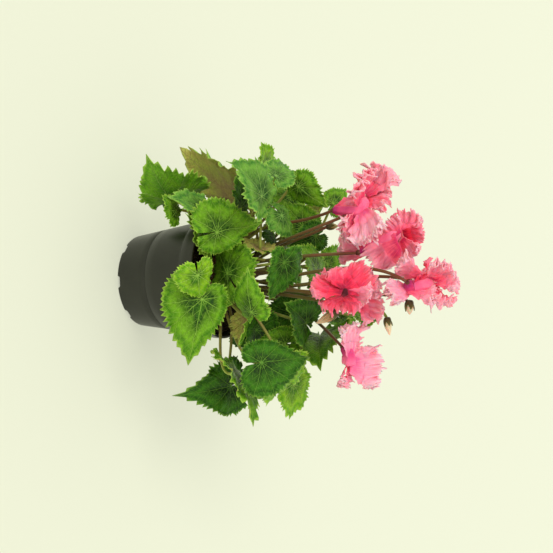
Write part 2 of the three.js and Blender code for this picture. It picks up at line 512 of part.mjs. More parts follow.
/** The curved axis of a flower stalk. */
function flowerStalkCurve({ to, clear, from, rise, out, reach, lean }) {
  const a = radians(from);
  const outward = new THREE.Vector3(Math.cos(a), Math.sin(a), 0);
  const start = outward.clone().multiplyScalar(flowerStalkSpread).setZ(stalkFoot);
  const leave = outward.multiplyScalar(out).setZ(1);
  const arrive = new THREE.Vector3(lean[0], lean[1], 1).normalize();
  const top = new THREE.Vector3(...to).addScaledVector(arrive, -clear);
  return new THREE.CubicBezierCurve3(start,
    start.clone().addScaledVector(leave, rise), top.clone().addScaledVector(arrive, -reach), top);
}

const plant = new THREE.Group();

/** Adds a named mesh of one colour to the plant. */
function add(name, geometry, color, roughness) {
  const material = new THREE.MeshStandardMaterial({ color, roughness, metalness: 0 });
  const mesh = new THREE.Mesh(geometry, material);
  mesh.name = name;
  plant.add(mesh);
  return mesh;
}

// Pot: a tapered moulded cup with a thicker collar, a faint shoulder and drain notches in its
// foot, standing on a closed floor.
const slope = (rimRadius - collarStep - baseRadius) / potHeight;
const outerAt = (z) => baseRadius + slope * z;
const collarFoot = potHeight - collarHeight;
const innerAt = (z) => Math.min(outerAt(z) - potWall
  + collarStep * Math.max(0, z - collarFoot) / collarHeight, rimRadius - potWall);
const potProfile = [
  [0, 0], [baseRadius - 1, 0], [baseRadius, 1],
  [outerAt(shoulderHeight) - shoulderStep, shoulderHeight],
  [outerAt(shoulderHeight + 1), shoulderHeight + 1],
  [outerAt(collarFoot), collarFoot], [outerAt(collarFoot + 1) + collarStep, collarFoot + 1],
  [rimRadius - rimDraft, potHeight], [innerAt(potHeight), potHeight],
  [innerAt(collarFoot), collarFoot], [innerAt(potFloor), potFloor], [0, potFloor],
].map(([r, z]) => new THREE.Vector2(r, z));
const potLathe = new THREE.LatheGeometry(potProfile, potSegments);
potLathe.rotateX(Math.PI / 2);
let potSolid = toSolid(potLathe);
for (let i = 0; i < drainNotches; i += 1) {
  const notch = new THREE.BoxGeometry(notchDepth, notchWidth, 2 * notchHeight);
  notch.translate(baseRadius, 0, 0);
  notch.rotateZ(2 * Math.PI * i / drainNotches - Math.PI / 2);
  potSolid = potSolid.subtract(toSolid(notch));
}
add('pot', toGeometry(potSolid), 0x3d3e38, 0.6);

// Tuber with every leaf stalk and flower stalk grown out of it: one living piece.
const tuber = new THREE.SphereGeometry(1, 16, 8);
tuber.rotateX(Math.PI / 2);
tuber.scale(tuberRadius, tuberRadius, tuberHeight);
tuber.translate(0, 0, tuberCentre);
const stalkSolids = [toSolid(tuber)];
for (const leaf of leaves) {
  stalkSolids.push(tubeSolid(petioleCurve(leaf), petioleRadius, stalkSides, petioleSteps));
}
for (const stalk of flowerStalks) {
  const curve = flowerStalkCurve(stalk);
  stalkSolids.push(tubeSolid(curve, flowerStalkRadius, stalkSides, flowerStalkSteps));
}
add('tuber_and_stalks', toGeometry(joined(stalkSolids)), 0x7a5a34, 0.55);

// Soil: fills the pot to just under the rim, a little heaped, with a plain well for the tuber.
const soilProfile = [
  [0, potFloor + seat], [innerAt(potFloor) - seat, potFloor + seat],
  [innerAt(collarFoot) - seat, collarFoot], [innerAt(soilTop - 1) - seat, soilTop - 1],
  [soilBankRadius, soilTop + soilBank], [soilDipRadius, soilTop],
  [soilHeapRadius, soilTop + soilHeap], [0, soilTop + soilHeap],
].map(([r, z]) => new THREE.Vector2(r, z));
const soilLathe = new THREE.LatheGeometry(soilProfile, potSegments);
soilLathe.rotateX(Math.PI / 2);
const well = new THREE.SphereGeometry(1, 16, 8);
well.rotateX(Math.PI / 2);
well.scale(tuberRadius + 2 * seat, tuberRadius + 2 * seat, tuberHeight + 2 * seat);
well.translate(0, 0, tuberCentre);
const shaftRadius = tuberRadius + shaftClearance;
const shaft = new THREE.CylinderGeometry(shaftRadius, shaftRadius, shaftHeight, 18);
shaft.rotateX(Math.PI / 2);
shaft.translate(0, 0, tuberCentre + shaftHeight / 2);
const soilSolid = toSolid(soilLathe).subtract(toSolid(well)).subtract(toSolid(shaft));
add('soil', toGeometry(soilSolid), 0x2a1f17, 1);

// Leaf blades, each resting a hair above the end of its stalk.
for (const leaf of leaves) {
  const blade = add(leaf.name, bladeGeometry(leaf), 0x3f7a2e, 0.6);
  blade.position.set(...leaf.at);
  blade.rotation.copy(turned(leaf));
}

// Blooms: frilled petals fused to the heart that they grow from.
for (const bloom of blooms) {
  const solids = [heartSolid(bloom.heart), ...bloom.petals.map(petalSolid)];
  add(bloom.name, toGeometry(joined(solids)), 0xff7a90, 0.6);
}

// Buds and the withered bloom: pointed drops with a green cup at the stalk.
for (const bud of buds) {
  const { len, radius } = bud;
  const profile = [[0, 0], [radius * 0.7, len * 0.12], [radius, len * 0.35],
    [radius * 0.7, len * 0.7], [0, len]].map(([r, z]) => new THREE.Vector2(r, z));
  const lathe = new THREE.LatheGeometry(profile, 8);
  lathe.rotateZ(-Math.PI / 2);
  const mesh = add(bud.name, solidGeometry(lathe), 0xb99a6a, 0.7);
  mesh.position.set(...bud.at);
  mesh.rotation.copy(turned(bud));
}

export default plant;
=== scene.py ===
"""A potted miniature cyclamen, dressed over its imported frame: pot, soil, tuber, stalks, toothed
leaf blades, frilled blooms and buds. Shapes are worked out in millimetres and placed in metres,
+Z up and -Y to the viewer. The picture is turned a quarter turn clockwise, as the photograph is."""

import math

import bpy
import numpy as np
from mathutils import Matrix


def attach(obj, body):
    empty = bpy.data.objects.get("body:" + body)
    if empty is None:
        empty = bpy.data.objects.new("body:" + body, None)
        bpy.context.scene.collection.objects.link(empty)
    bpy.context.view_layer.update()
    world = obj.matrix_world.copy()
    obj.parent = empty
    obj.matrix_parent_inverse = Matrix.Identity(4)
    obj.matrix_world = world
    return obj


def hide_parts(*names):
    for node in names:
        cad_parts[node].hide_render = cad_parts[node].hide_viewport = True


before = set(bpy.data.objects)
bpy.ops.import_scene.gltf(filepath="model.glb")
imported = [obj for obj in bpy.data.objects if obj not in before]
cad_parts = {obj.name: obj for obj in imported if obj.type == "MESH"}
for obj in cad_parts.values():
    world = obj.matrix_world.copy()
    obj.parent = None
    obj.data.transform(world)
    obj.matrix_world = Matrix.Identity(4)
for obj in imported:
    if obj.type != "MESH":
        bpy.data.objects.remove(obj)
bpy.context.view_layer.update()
MM = 0.001

# Camera. It stands in front of the plant, looks down on it, and lies on its side, so that the
# plant's upward direction points to the right of the picture.
TILT = math.radians(26.4)
ROLL = math.radians(2.6)
AIM = np.array([1.4, 0, 113.3]) * MM
DISTANCE = 641 * MM
LENS = 58.6
SENSOR = 36
forward = np.array([0, math.cos(TILT), -math.sin(TILT)])
right = np.array([1.0, 0, 0])
up = np.cross(right, forward)
camera_data = bpy.data.cameras.new("camera")
camera_data.lens = LENS
camera_data.sensor_width = SENSOR
camera_data.clip_start = 10 * MM
camera = bpy.data.objects.new("camera", camera_data)
axes = np.eye(4)
axes[:3, 0] = math.sin(ROLL) * right + math.cos(ROLL) * up
axes[:3, 1] = math.sin(ROLL) * up - math.cos(ROLL) * right
axes[:3, 2] = -forward
axes[:3, 3] = AIM - forward * DISTANCE
camera.matrix_world = Matrix(axes.tolist())
bpy.context.scene.collection.objects.link(camera)
bpy.context.scene.camera = camera
bpy.context.scene.view_settings.view_transform = "Standard"


# Studio. A wide pale cream sweep of acrylic, lit from below, under two very soft lamps and an
# even bright sky, which leave only a faint shadow round the pot.
FLOOR_HALF = 4000
FLOOR_GLOW = 0.5
SKY_STRENGTH = 0.98


def linear(code):
    """The linear colour of an sRGB hex value, with alpha 1."""
    channels = [int(code[i:i + 2], 16) / 255 for i in (1, 3, 5)]
    return [c / 12.92 if c <= 0.04045 else ((c + 0.055) / 1.055) ** 2.4 for c in channels] + [1]


def add(tree, kind, inputs=(), stops=(), **settings):
    """Adds a shader node. Inputs are values, sockets or nodes (their first output), by place in
    a list or by name in a dict; stops are the places and sRGB hex colours of a ramp."""
    node = tree.nodes.new("ShaderNode" + kind)
    for key, value in settings.items():
        setattr(node, key, value)
    for key, value in inputs.items() if isinstance(inputs, dict) else enumerate(inputs):
        if isinstance(value, bpy.types.Node):
            value = value.outputs[0]
        if isinstance(value, bpy.types.NodeSocket):
            tree.links.new(value, node.inputs[key])
        else:
            node.inputs[key].default_value = value
    for i, (place, code) in enumerate(stops):
        elements = node.color_ramp.elements
        element = elements[i] if i < 2 else elements.new(place)
        element.position = place
        element.color = linear(code)
    return node


def new_material(name, **sockets):
    """A material with one Principled shader, its sockets set by name; returns it, its tree and
    the shader."""
    material = bpy.data.materials.new(name)
    material.use_nodes = True
    tree = material.node_tree
    tree.nodes.clear()
    shader = add(tree, "BsdfPrincipled", {k.replace("_", " "): v for k, v in sockets.items()})
    add(tree, "OutputMaterial", [shader])
    return material, tree, shader


def new_piece(name, points, faces, material, slots=None, uv=None, **attributes):
    """A smooth mesh object from points (n, 3) in millimetres and faces, a list of index arrays
    (m, 3) or (m, 4). slots gives each face's material, uv and the attributes are per point."""
    mesh = bpy.data.meshes.new(name)
    corners = np.concatenate([f.ravel() for f in faces]).astype(np.int32)
    sizes = np.concatenate([np.full(len(f), f.shape[1]) for f in faces]).astype(np.int32)
    mesh.vertices.add(len(points))
    mesh.vertices.foreach_set("co", (np.asarray(points) * MM).astype(np.float32).ravel())
    mesh.loops.add(len(corners))
    mesh.loops.foreach_set("vertex_index", corners)
    mesh.polygons.add(len(sizes))
    mesh.polygons.foreach_set("loop_start", (np.cumsum(sizes) - sizes).astype(np.int32))
    mesh.polygons.foreach_set("loop_total", sizes)
    mesh.polygons.foreach_set("use_smooth", np.ones(len(sizes), bool))
    if slots is not None:
        mesh.polygons.foreach_set("material_index", np.asarray(slots, np.int32))
    if uv is not None:
        layer = mesh.uv_layers.new(name="uv")
        layer.data.foreach_set("uv", np.asarray(uv, np.float32)[corners].ravel())
    for key, values in attributes.items():
        layer = mesh.attributes.new(key, "FLOAT", "POINT")
        layer.data.foreach_set("value", np.asarray(values, np.float32).ravel())
    mesh.update(calc_edges=True)
    mesh.validate()
    piece = bpy.data.objects.new(name, mesh)
    bpy.context.scene.collection.objects.link(piece)
    for one in material if isinstance(material, list) else [material]:
        mesh.materials.append(one)
    return piece


# Translucent acrylic, matt: an even tone with a little light of its own and no gloss.
acrylic, _, _ = new_material(
    "acrylic_sweep", Base_Color=linear("#9A9C8A"), Roughness=0.9,
    Emission_Color=linear("#F5F8E3"), Emission_Strength=FLOOR_GLOW,
)
floor = new_piece(
    "floor",
    np.array([[-1, -1, 0], [1, -1, 0], [1, 1, 0], [-1, 1, 0]]) * FLOOR_HALF,
    [np.array([[0, 1, 2, 3]])],
    acrylic,
)
world = bpy.data.worlds.new("sky")
world.use_nodes = True
sky = world.node_tree.nodes["Background"]
sky.inputs["Color"].default_value = linear("#FCFDF2")
sky.inputs["Strength"].default_value = SKY_STRENGTH
bpy.context.scene.world = world
for lamp_name, place, spread, power in [
    ("key", (-0.55, -0.6, 0.9), 35, 1.35),
    ("fill", (0.8, -0.5, 0.5), 70, 0.18),
]:
    lamp_data = bpy.data.lights.new(lamp_name, "SUN")
    lamp_data.angle = math.radians(spread)
    lamp_data.energy = power
    lamp_data.color = linear("#FFFEF8")[:3]
    lamp = bpy.data.objects.new(lamp_name, lamp_data)
    back = np.array(place) / np.linalg.norm(place)
    side = np.cross([0, 0, 1], back)
    side /= np.linalg.norm(side)
    pose = np.eye(4)
    pose[:3, 0] = side
    pose[:3, 1] = np.cross(back, side)
    pose[:3, 2] = back
    pose[:3, 3] = back
    lamp.matrix_world = Matrix(pose.tolist())
    bpy.context.scene.collection.objects.link(lamp)


# Pot. Injection-moulded polypropylene, dark grey and matt, with a thicker collar under the rim,
# a shallow groove low on the wall and drain notches in the foot.
POT_COLUMNS = 240
POT_HEIGHT = 70
POT_BASE = 34.5
POT_RIM = 45
POT_WALL = 1.6
POT_FLOOR = 4
FOOT_ROUND = 0.9
LIP_ROUND = 0.8
GROOVE_LEVEL = 26
GROOVE_DEPTH = 0.5
COLLAR_FOOT = 58
COLLAR_STEP = 1.2
COLLAR_LIP = 64
SLOPE = (POT_RIM - COLLAR_STEP - POT_BASE) / POT_HEIGHT
NOTCHES = 8
NOTCH_HALF = 3.5
NOTCH_HEIGHT = 2.4
NOTCH_INNER = 30
NOTCH_SIDE = 0.5
AXIS_GAP = 0.01


def ring_faces(rows, columns, closed=True):
    """Quads of a grid of points numbered row by row, closed round its columns or not."""
    row, column = np.meshgrid(np.arange(rows - 1), np.arange(columns - (not closed)), indexing="ij")
    after = (column + 1) % columns
    corners = [row * columns + column, row * columns + after]
    corners += [(row + 1) * columns + after, (row + 1) * columns + column]
    return np.stack([c.ravel() for c in corners], 1)


def spun(radius, height, columns):
    """Points of a profile carried round the Z axis: x = r cos a, y = r sin a, z = h."""
    angle = np.arange(columns) * 2 * math.pi / columns
    ring = np.stack([np.cos(angle), np.sin(angle)], 1)
    flat = np.asarray(radius)[:, None, None] * ring
    level = np.broadcast_to(np.asarray(height, float)[:, None, None], flat.shape[:2] + (1,))
    return np.concatenate([flat, level], 2)


def corner(centre, radius, start, end, steps=5):
    """Points of an arc in the profile's plane, from one angle to another in degrees."""
    angle = np.radians(np.linspace(start, end, steps))
    return [(centre[0] + radius * math.cos(a), centre[1] + radius * math.sin(a)) for a in angle]


def pot_outside(z):
    """Outer radius of the tapered wall at a height."""
    return POT_BASE + SLOPE * z


def feed(tree, shader, **nodes):
    """Links the first output of nodes to the shader's sockets, each by its name."""
    for socket, node in nodes.items():
        tree.links.new(node.outputs[0], shader.inputs[socket.replace("_", " ")])


def scale_of(size):
    """Scale of a pattern in object space whose cells are size millimetres wide."""
    return 1 / (size * MM)


# The profile runs from the middle of the base up the outside, over the rim and down to the floor,
# as radius and height.
pot_profile = [(AXIS_GAP, 0), (15, 0), (NOTCH_INNER - 0.1, 0), (NOTCH_INNER, 0), (32, 0)]
pot_profile += corner((POT_BASE - 0.8, FOOT_ROUND), FOOT_ROUND, -90, 0)
pot_profile += [(pot_outside(z), z) for z in (NOTCH_HEIGHT, 3.2, 8, 14, 20, GROOVE_LEVEL - 0.8)]
pot_profile += [(pot_outside(z) - GROOVE_DEPTH, z)
                for z in (GROOVE_LEVEL - 0.2, GROOVE_LEVEL + 0.3)]
pot_profile += [(pot_outside(z), z) for z in (GROOVE_LEVEL + 1, 34, 42, 50, 56, COLLAR_FOOT)]
pot_profile += [(pot_outside(58.4) + 0.15, 58.3), (pot_outside(58.8) + 0.9, 58.6)]
pot_profile += [(pot_outside(59.4) + COLLAR_STEP, 59.2)]
pot_profile += [(POT_RIM - 0.35, COLLAR_LIP), (POT_RIM - 0.1, 68.6)]
pot_profile += corner((POT_RIM - LIP_ROUND, POT_HEIGHT - LIP_ROUND), LIP_ROUND, 0, 180, 9)
pot_profile += [(POT_RIM - POT_WALL - 0.2, 66), (pot_outside(COLLAR_FOOT) - POT_WALL, COLLAR_FOOT)]
pot_profile += [(pot_outside(z) - POT_WALL, z) for z in (40, 20, POT_FLOOR)]
pot_profile += [(20, POT_FLOOR), (AXIS_GAP, POT_FLOOR)]
pot_radius, pot_level = np.array(pot_profile).T
pot_points = spun(pot_radius, pot_level, POT_COLUMNS)
# The notches lift the foot, outside their inner radius, to the notch's height.
notch_turn = (np.arange(POT_COLUMNS) / POT_COLUMNS * NOTCHES + 0.5) % 1 - 0.5
notch_reach = np.abs(notch_turn) * 2 * math.pi * POT_BASE / NOTCHES
in_notch = np.clip((NOTCH_HALF + NOTCH_SIDE - notch_reach) / NOTCH_SIDE, 0, 1)
raised = np.maximum(pot_points[..., 2], NOTCH_HEIGHT * in_notch)
foot = (pot_radius >= NOTCH_INNER)[:, None]
pot_points[..., 2] = np.where(foot, raised, pot_points[..., 2])
# Moulded polypropylene: a matt skin with a 1 mm grain, dulled in patches by dried dust.
polypropylene, tree, shader = new_material(
    "moulded_polypropylene", Roughness=0.5, IOR=1.49, Specular_IOR_Level=0.35
)
place = add(tree, "TexCoord").outputs["Object"]
grain = add(tree, "TexNoise", {"Vector": place, "Scale": scale_of(1.111), "Detail": 4.0})
dust = add(
    tree, "TexNoise", {"Vector": place, "Scale": scale_of(35.71), "Detail": 6.0, "Roughness": 0.65})
shade = add(tree, "ValToRGB", [dust], stops=[(0.3, "#20211A"), (0.62, "#292A22"), (0.8, "#37372E")])
rough = add(tree, "MapRange", [dust, 0.3, 0.8, 0.26, 0.44])
relief = add(tree, "Bump", {"Height": grain, "Strength": 0.12, "Distance": 0.2 * MM})
feed(tree, shader, Base_Color=shade, Roughness=rough, Normal=relief)
pot = new_piece(
    "pot_shell", pot_points.reshape(-1, 3),
    [ring_faces(len(pot_radius), POT_COLUMNS)], polypropylene,
)
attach(pot, "root")
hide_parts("pot")


# Soil. Dark peat compost, dry and loose on top, filled to just under the rim and hollowed round
# the tuber. Crumbs of peat lie on it.
SOIL_COLUMNS = 200
SOIL_FLOOR = 4.4
SOIL_TOP = 63
SOIL_REACH = 41.4
SOIL_GAP = 0.4
SOIL_WELL = 15.7
SOIL_WAVES = [3, 3.4, 4, 4.6, 5, 6, 7, 9, 11, 14]
SOIL_SEED = 3
TUBER_CENTRE = 62.5
TUBER_RADIUS = 15
TUBER_HEIGHT = 9
WELL_HEIGHT = TUBER_HEIGHT + 0.7
CRUMBS = 620
CRUMB_CORNERS = 12
CRUMB_INNER = SOIL_WELL + 2
CRUMB_OUTER = 40.2


def bumps(points, sizes, height, seed):
    """Sum of waves in seeded directions, each as high as it is long: height times the wave length
    times the sine of the distance along its direction."""
    draw = np.random.default_rng(seed)
    total = np.zeros(points.shape[:-1])
    for size in sizes:
        along = draw.normal(size=3)
        along *= 2 * math.pi / size / np.linalg.norm(along)
        total += height * size * np.sin(points @ along + draw.uniform(0, 7))
    return total


def capped(rings, first=None, last=None):
    """Points and faces of rings (rows, columns, 3) closed at both ends by a fan to one point."""
    rows, columns = rings.shape[:2]
    first = rings[0].mean(0) if first is None else first
    last = rings[-1].mean(0) if last is None else last
    points = np.concatenate([rings.reshape(-1, 3), [first, last]])
    turn = np.arange(columns)
    after = (turn + 1) % columns
    end = (rows - 1) * columns
    start_fan = np.stack([np.full(columns, rows * columns), after, turn], 1)
    end_fan = np.stack([np.full(columns, rows * columns + 1), end + turn, end + after], 1)
    return points, [ring_faces(rows, columns), start_fan, end_fan]


def ground(reach):
    """Level of the soil at a distance from the axis: it sags by a sine inside the rim."""
    return SOIL_TOP + 1 - 0.9 * np.sin((SOIL_REACH - reach) / 8)


soil_profile = [(12, SOIL_FLOOR), (30, SOIL_FLOOR)]
soil_profile += [(pot_outside(z) - POT_WALL - SOIL_GAP, z) for z in (4.8, 20, 40, 58)]
soil_profile += [(pot_outside(62) - POT_WALL - 0.1, 61.6)]
top_start = len(soil_profile)
soil_profile += [(r, ground(r)) for r in np.arange(41, 20, -1.3)]
soil_profile += [(r, SOIL_TOP + 1.2) for r in np.arange(20, SOIL_WELL + 0.3, -1.3)]
top_end = len(soil_profile)
soil_profile += [(SOIL_WELL + 0.05, SOIL_TOP + 0.8)]
soil_profile += [(SOIL_WELL * x, TUBER_CENTRE + WELL_HEIGHT * z)
                 for x, z in corner((0, 0), 1, 0, -84, 9)]
soil_rings = spun(*np.array(soil_profile).T, SOIL_COLUMNS)
uneven = bumps(soil_rings[top_start:top_end], SOIL_WAVES, 0.05, SOIL_SEED)
soil_rings[top_start:top_end, :, 2] += uneven
# Peat: black-brown fibres 2.4 mm long with paler dry ends, in clods, without any gloss.
peat, tree, shader = new_material("peat_compost", Roughness=0.95, Specular_IOR_Level=0.2)
place = add(tree, "TexCoord").outputs["Object"]
fibre = add(
    tree, "TexNoise", {"Vector": place, "Scale": scale_of(2.381), "Detail": 8.0, "Roughness": 0.7})
clod = add(tree, "TexVoronoi", {"Vector": place, "Scale": scale_of(2.632)})
shade = add(tree, "ValToRGB", [fibre], stops=[
    (0.32, "#14100B"), (0.5, "#2B2118"), (0.66, "#4A3A2A"), (0.78, "#6B573F")])
height = add(tree, "Math", [fibre, clod.outputs["Distance"]], operation="SUBTRACT")
relief = add(tree, "Bump", {"Height": height, "Strength": 0.8, "Distance": 1.2 * MM})
feed(tree, shader, Base_Color=shade, Normal=relief)
soil_points, soil_faces = capped(
    soil_rings, (0, 0, SOIL_FLOOR), (0, 0, TUBER_CENTRE - WELL_HEIGHT))
soil = new_piece("soil_fill", soil_points, soil_faces, peat)
# A crumb is an icosahedron with its corners pushed in and out.
golden = (1 + math.sqrt(5)) / 2
ball = np.array([(0, 1, golden), (0, -1, golden), (0, 1, -golden), (0, -1, -golden),
                 (1, golden, 0), (-1, golden, 0), (1, -golden, 0), (-1, -golden, 0),
                 (golden, 0, 1), (golden, 0, -1), (-golden, 0, 1), (-golden, 0, -1)]) / 1.9
near = np.linalg.norm(ball[:, None] - ball[None], axis=2) < 1.1
ball_faces = np.array([
    (i, j, k) for i in range(CRUMB_CORNERS)
    for j in range(i + 1, CRUMB_CORNERS) for k in range(j + 1, CRUMB_CORNERS)
    if near[i, j] and near[j, k] and near[i, k]])
first, second, third = (ball[ball_faces[:, i]] for i in range(3))
inward = np.einsum("ij,ij->i", np.cross(second - first, third - first), first) < 0
ball_faces[inward] = ball_faces[inward][:, ::-1]
rng = np.random.default_rng(7)
crumb_angle = rng.uniform(0, 2 * math.pi, CRUMBS)
crumb_reach = np.sqrt(rng.uniform(CRUMB_INNER**2, CRUMB_OUTER**2, CRUMBS))
crumb_size = rng.uniform(0.35, 1.0, CRUMBS) ** 2 * 1.5 + 0.25
crumb_middle = np.stack([crumb_reach * np.cos(crumb_angle), crumb_reach * np.sin(crumb_angle),
                         ground(crumb_reach)], 1)
crumb_middle[:, 2] += bumps(crumb_middle, SOIL_WAVES, 0.05, SOIL_SEED) + 0.2
stretch = rng.uniform(0.6, 1.4, (CRUMBS, CRUMB_CORNERS, 3)) * rng.uniform(0.6, 1.2, (CRUMBS, 1, 3))
crumb_points = crumb_middle[:, None] + crumb_size[:, None, None] * ball * stretch
crumb_faces = ball_faces[None] + CRUMB_CORNERS * np.arange(CRUMBS)[:, None, None]
crumbs = new_piece("soil_crumbs", crumb_points.reshape(-1, 3), [crumb_faces.reshape(-1, 3)], peat)
for piece in (soil, crumbs):
    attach(piece, "root")
    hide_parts("soil")


# Tuber. A flattened corky corm, brown and cracked, half sunk in the soil. Every stalk grows
# out of its crown.
TUBER_COLUMNS = 96
TUBER_ROWS = 40
TUBER_POLE = 1.5
turn, climb = np.meshgrid(np.arange(TUBER_COLUMNS) * 2 * math.pi / TUBER_COLUMNS,
                          np.linspace(-TUBER_POLE, TUBER_POLE, TUBER_ROWS))
tuber_rings = np.stack([
    TUBER_RADIUS * np.cos(climb) * np.cos(turn),
    TUBER_RADIUS * np.cos(climb) * np.sin(turn),
    TUBER_HEIGHT * np.sin(climb)], 2)
swell = 1 + bumps(tuber_rings, [2.2, 3, 4, 5, 7, 9], 0.0022, 11)
tuber_rings = tuber_rings * swell[..., None] + [0, 0, TUBER_CENTRE]
# Cork: brown flakes about 4 mm wide, parted by fine cracks, dull as bark.
cork, tree, shader = new_material("corky_skin", Roughness=0.85, Specular_IOR_Level=0.25)
place = add(tree, "TexCoord").outputs["Object"]
flake = add(
    tree, "TexNoise", {"Vector": place, "Scale": scale_of(3.846), "Detail": 7.0, "Roughness": 0.65})
crack = add(
    tree, "TexVoronoi", {"Vector": place, "Scale": scale_of(3.125)}, feature="DISTANCE_TO_EDGE")
shade = add(tree, "ValToRGB", [flake], stops=[(0.3, "#3A2415"), (0.5, "#5E3F26"), (0.7, "#86623F")])
height = add(tree, "Math", [flake, crack], operation="ADD")
relief = add(tree, "Bump", {"Height": height, "Strength": 0.7, "Distance": 0.8 * MM})
feed(tree, shader, Base_Color=shade, Normal=relief)
tuber = new_piece("tuber", *capped(tuber_rings), cork)
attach(tuber, "root")
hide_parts("tuber_and_stalks")


# Leaf stalks. Smooth fleshy stems, one to a leaf, that leave the tuber's shoulder steeply and
# bend to the joint under each blade. Reddish brown below, green above, finely downy.
STEM_START = 11
STEM_LEVEL = 66
STEM_OUT = 0.6
STEM_SIDES = 10
STEM_STEPS = 22
JOINT_DEPTH = 0.15
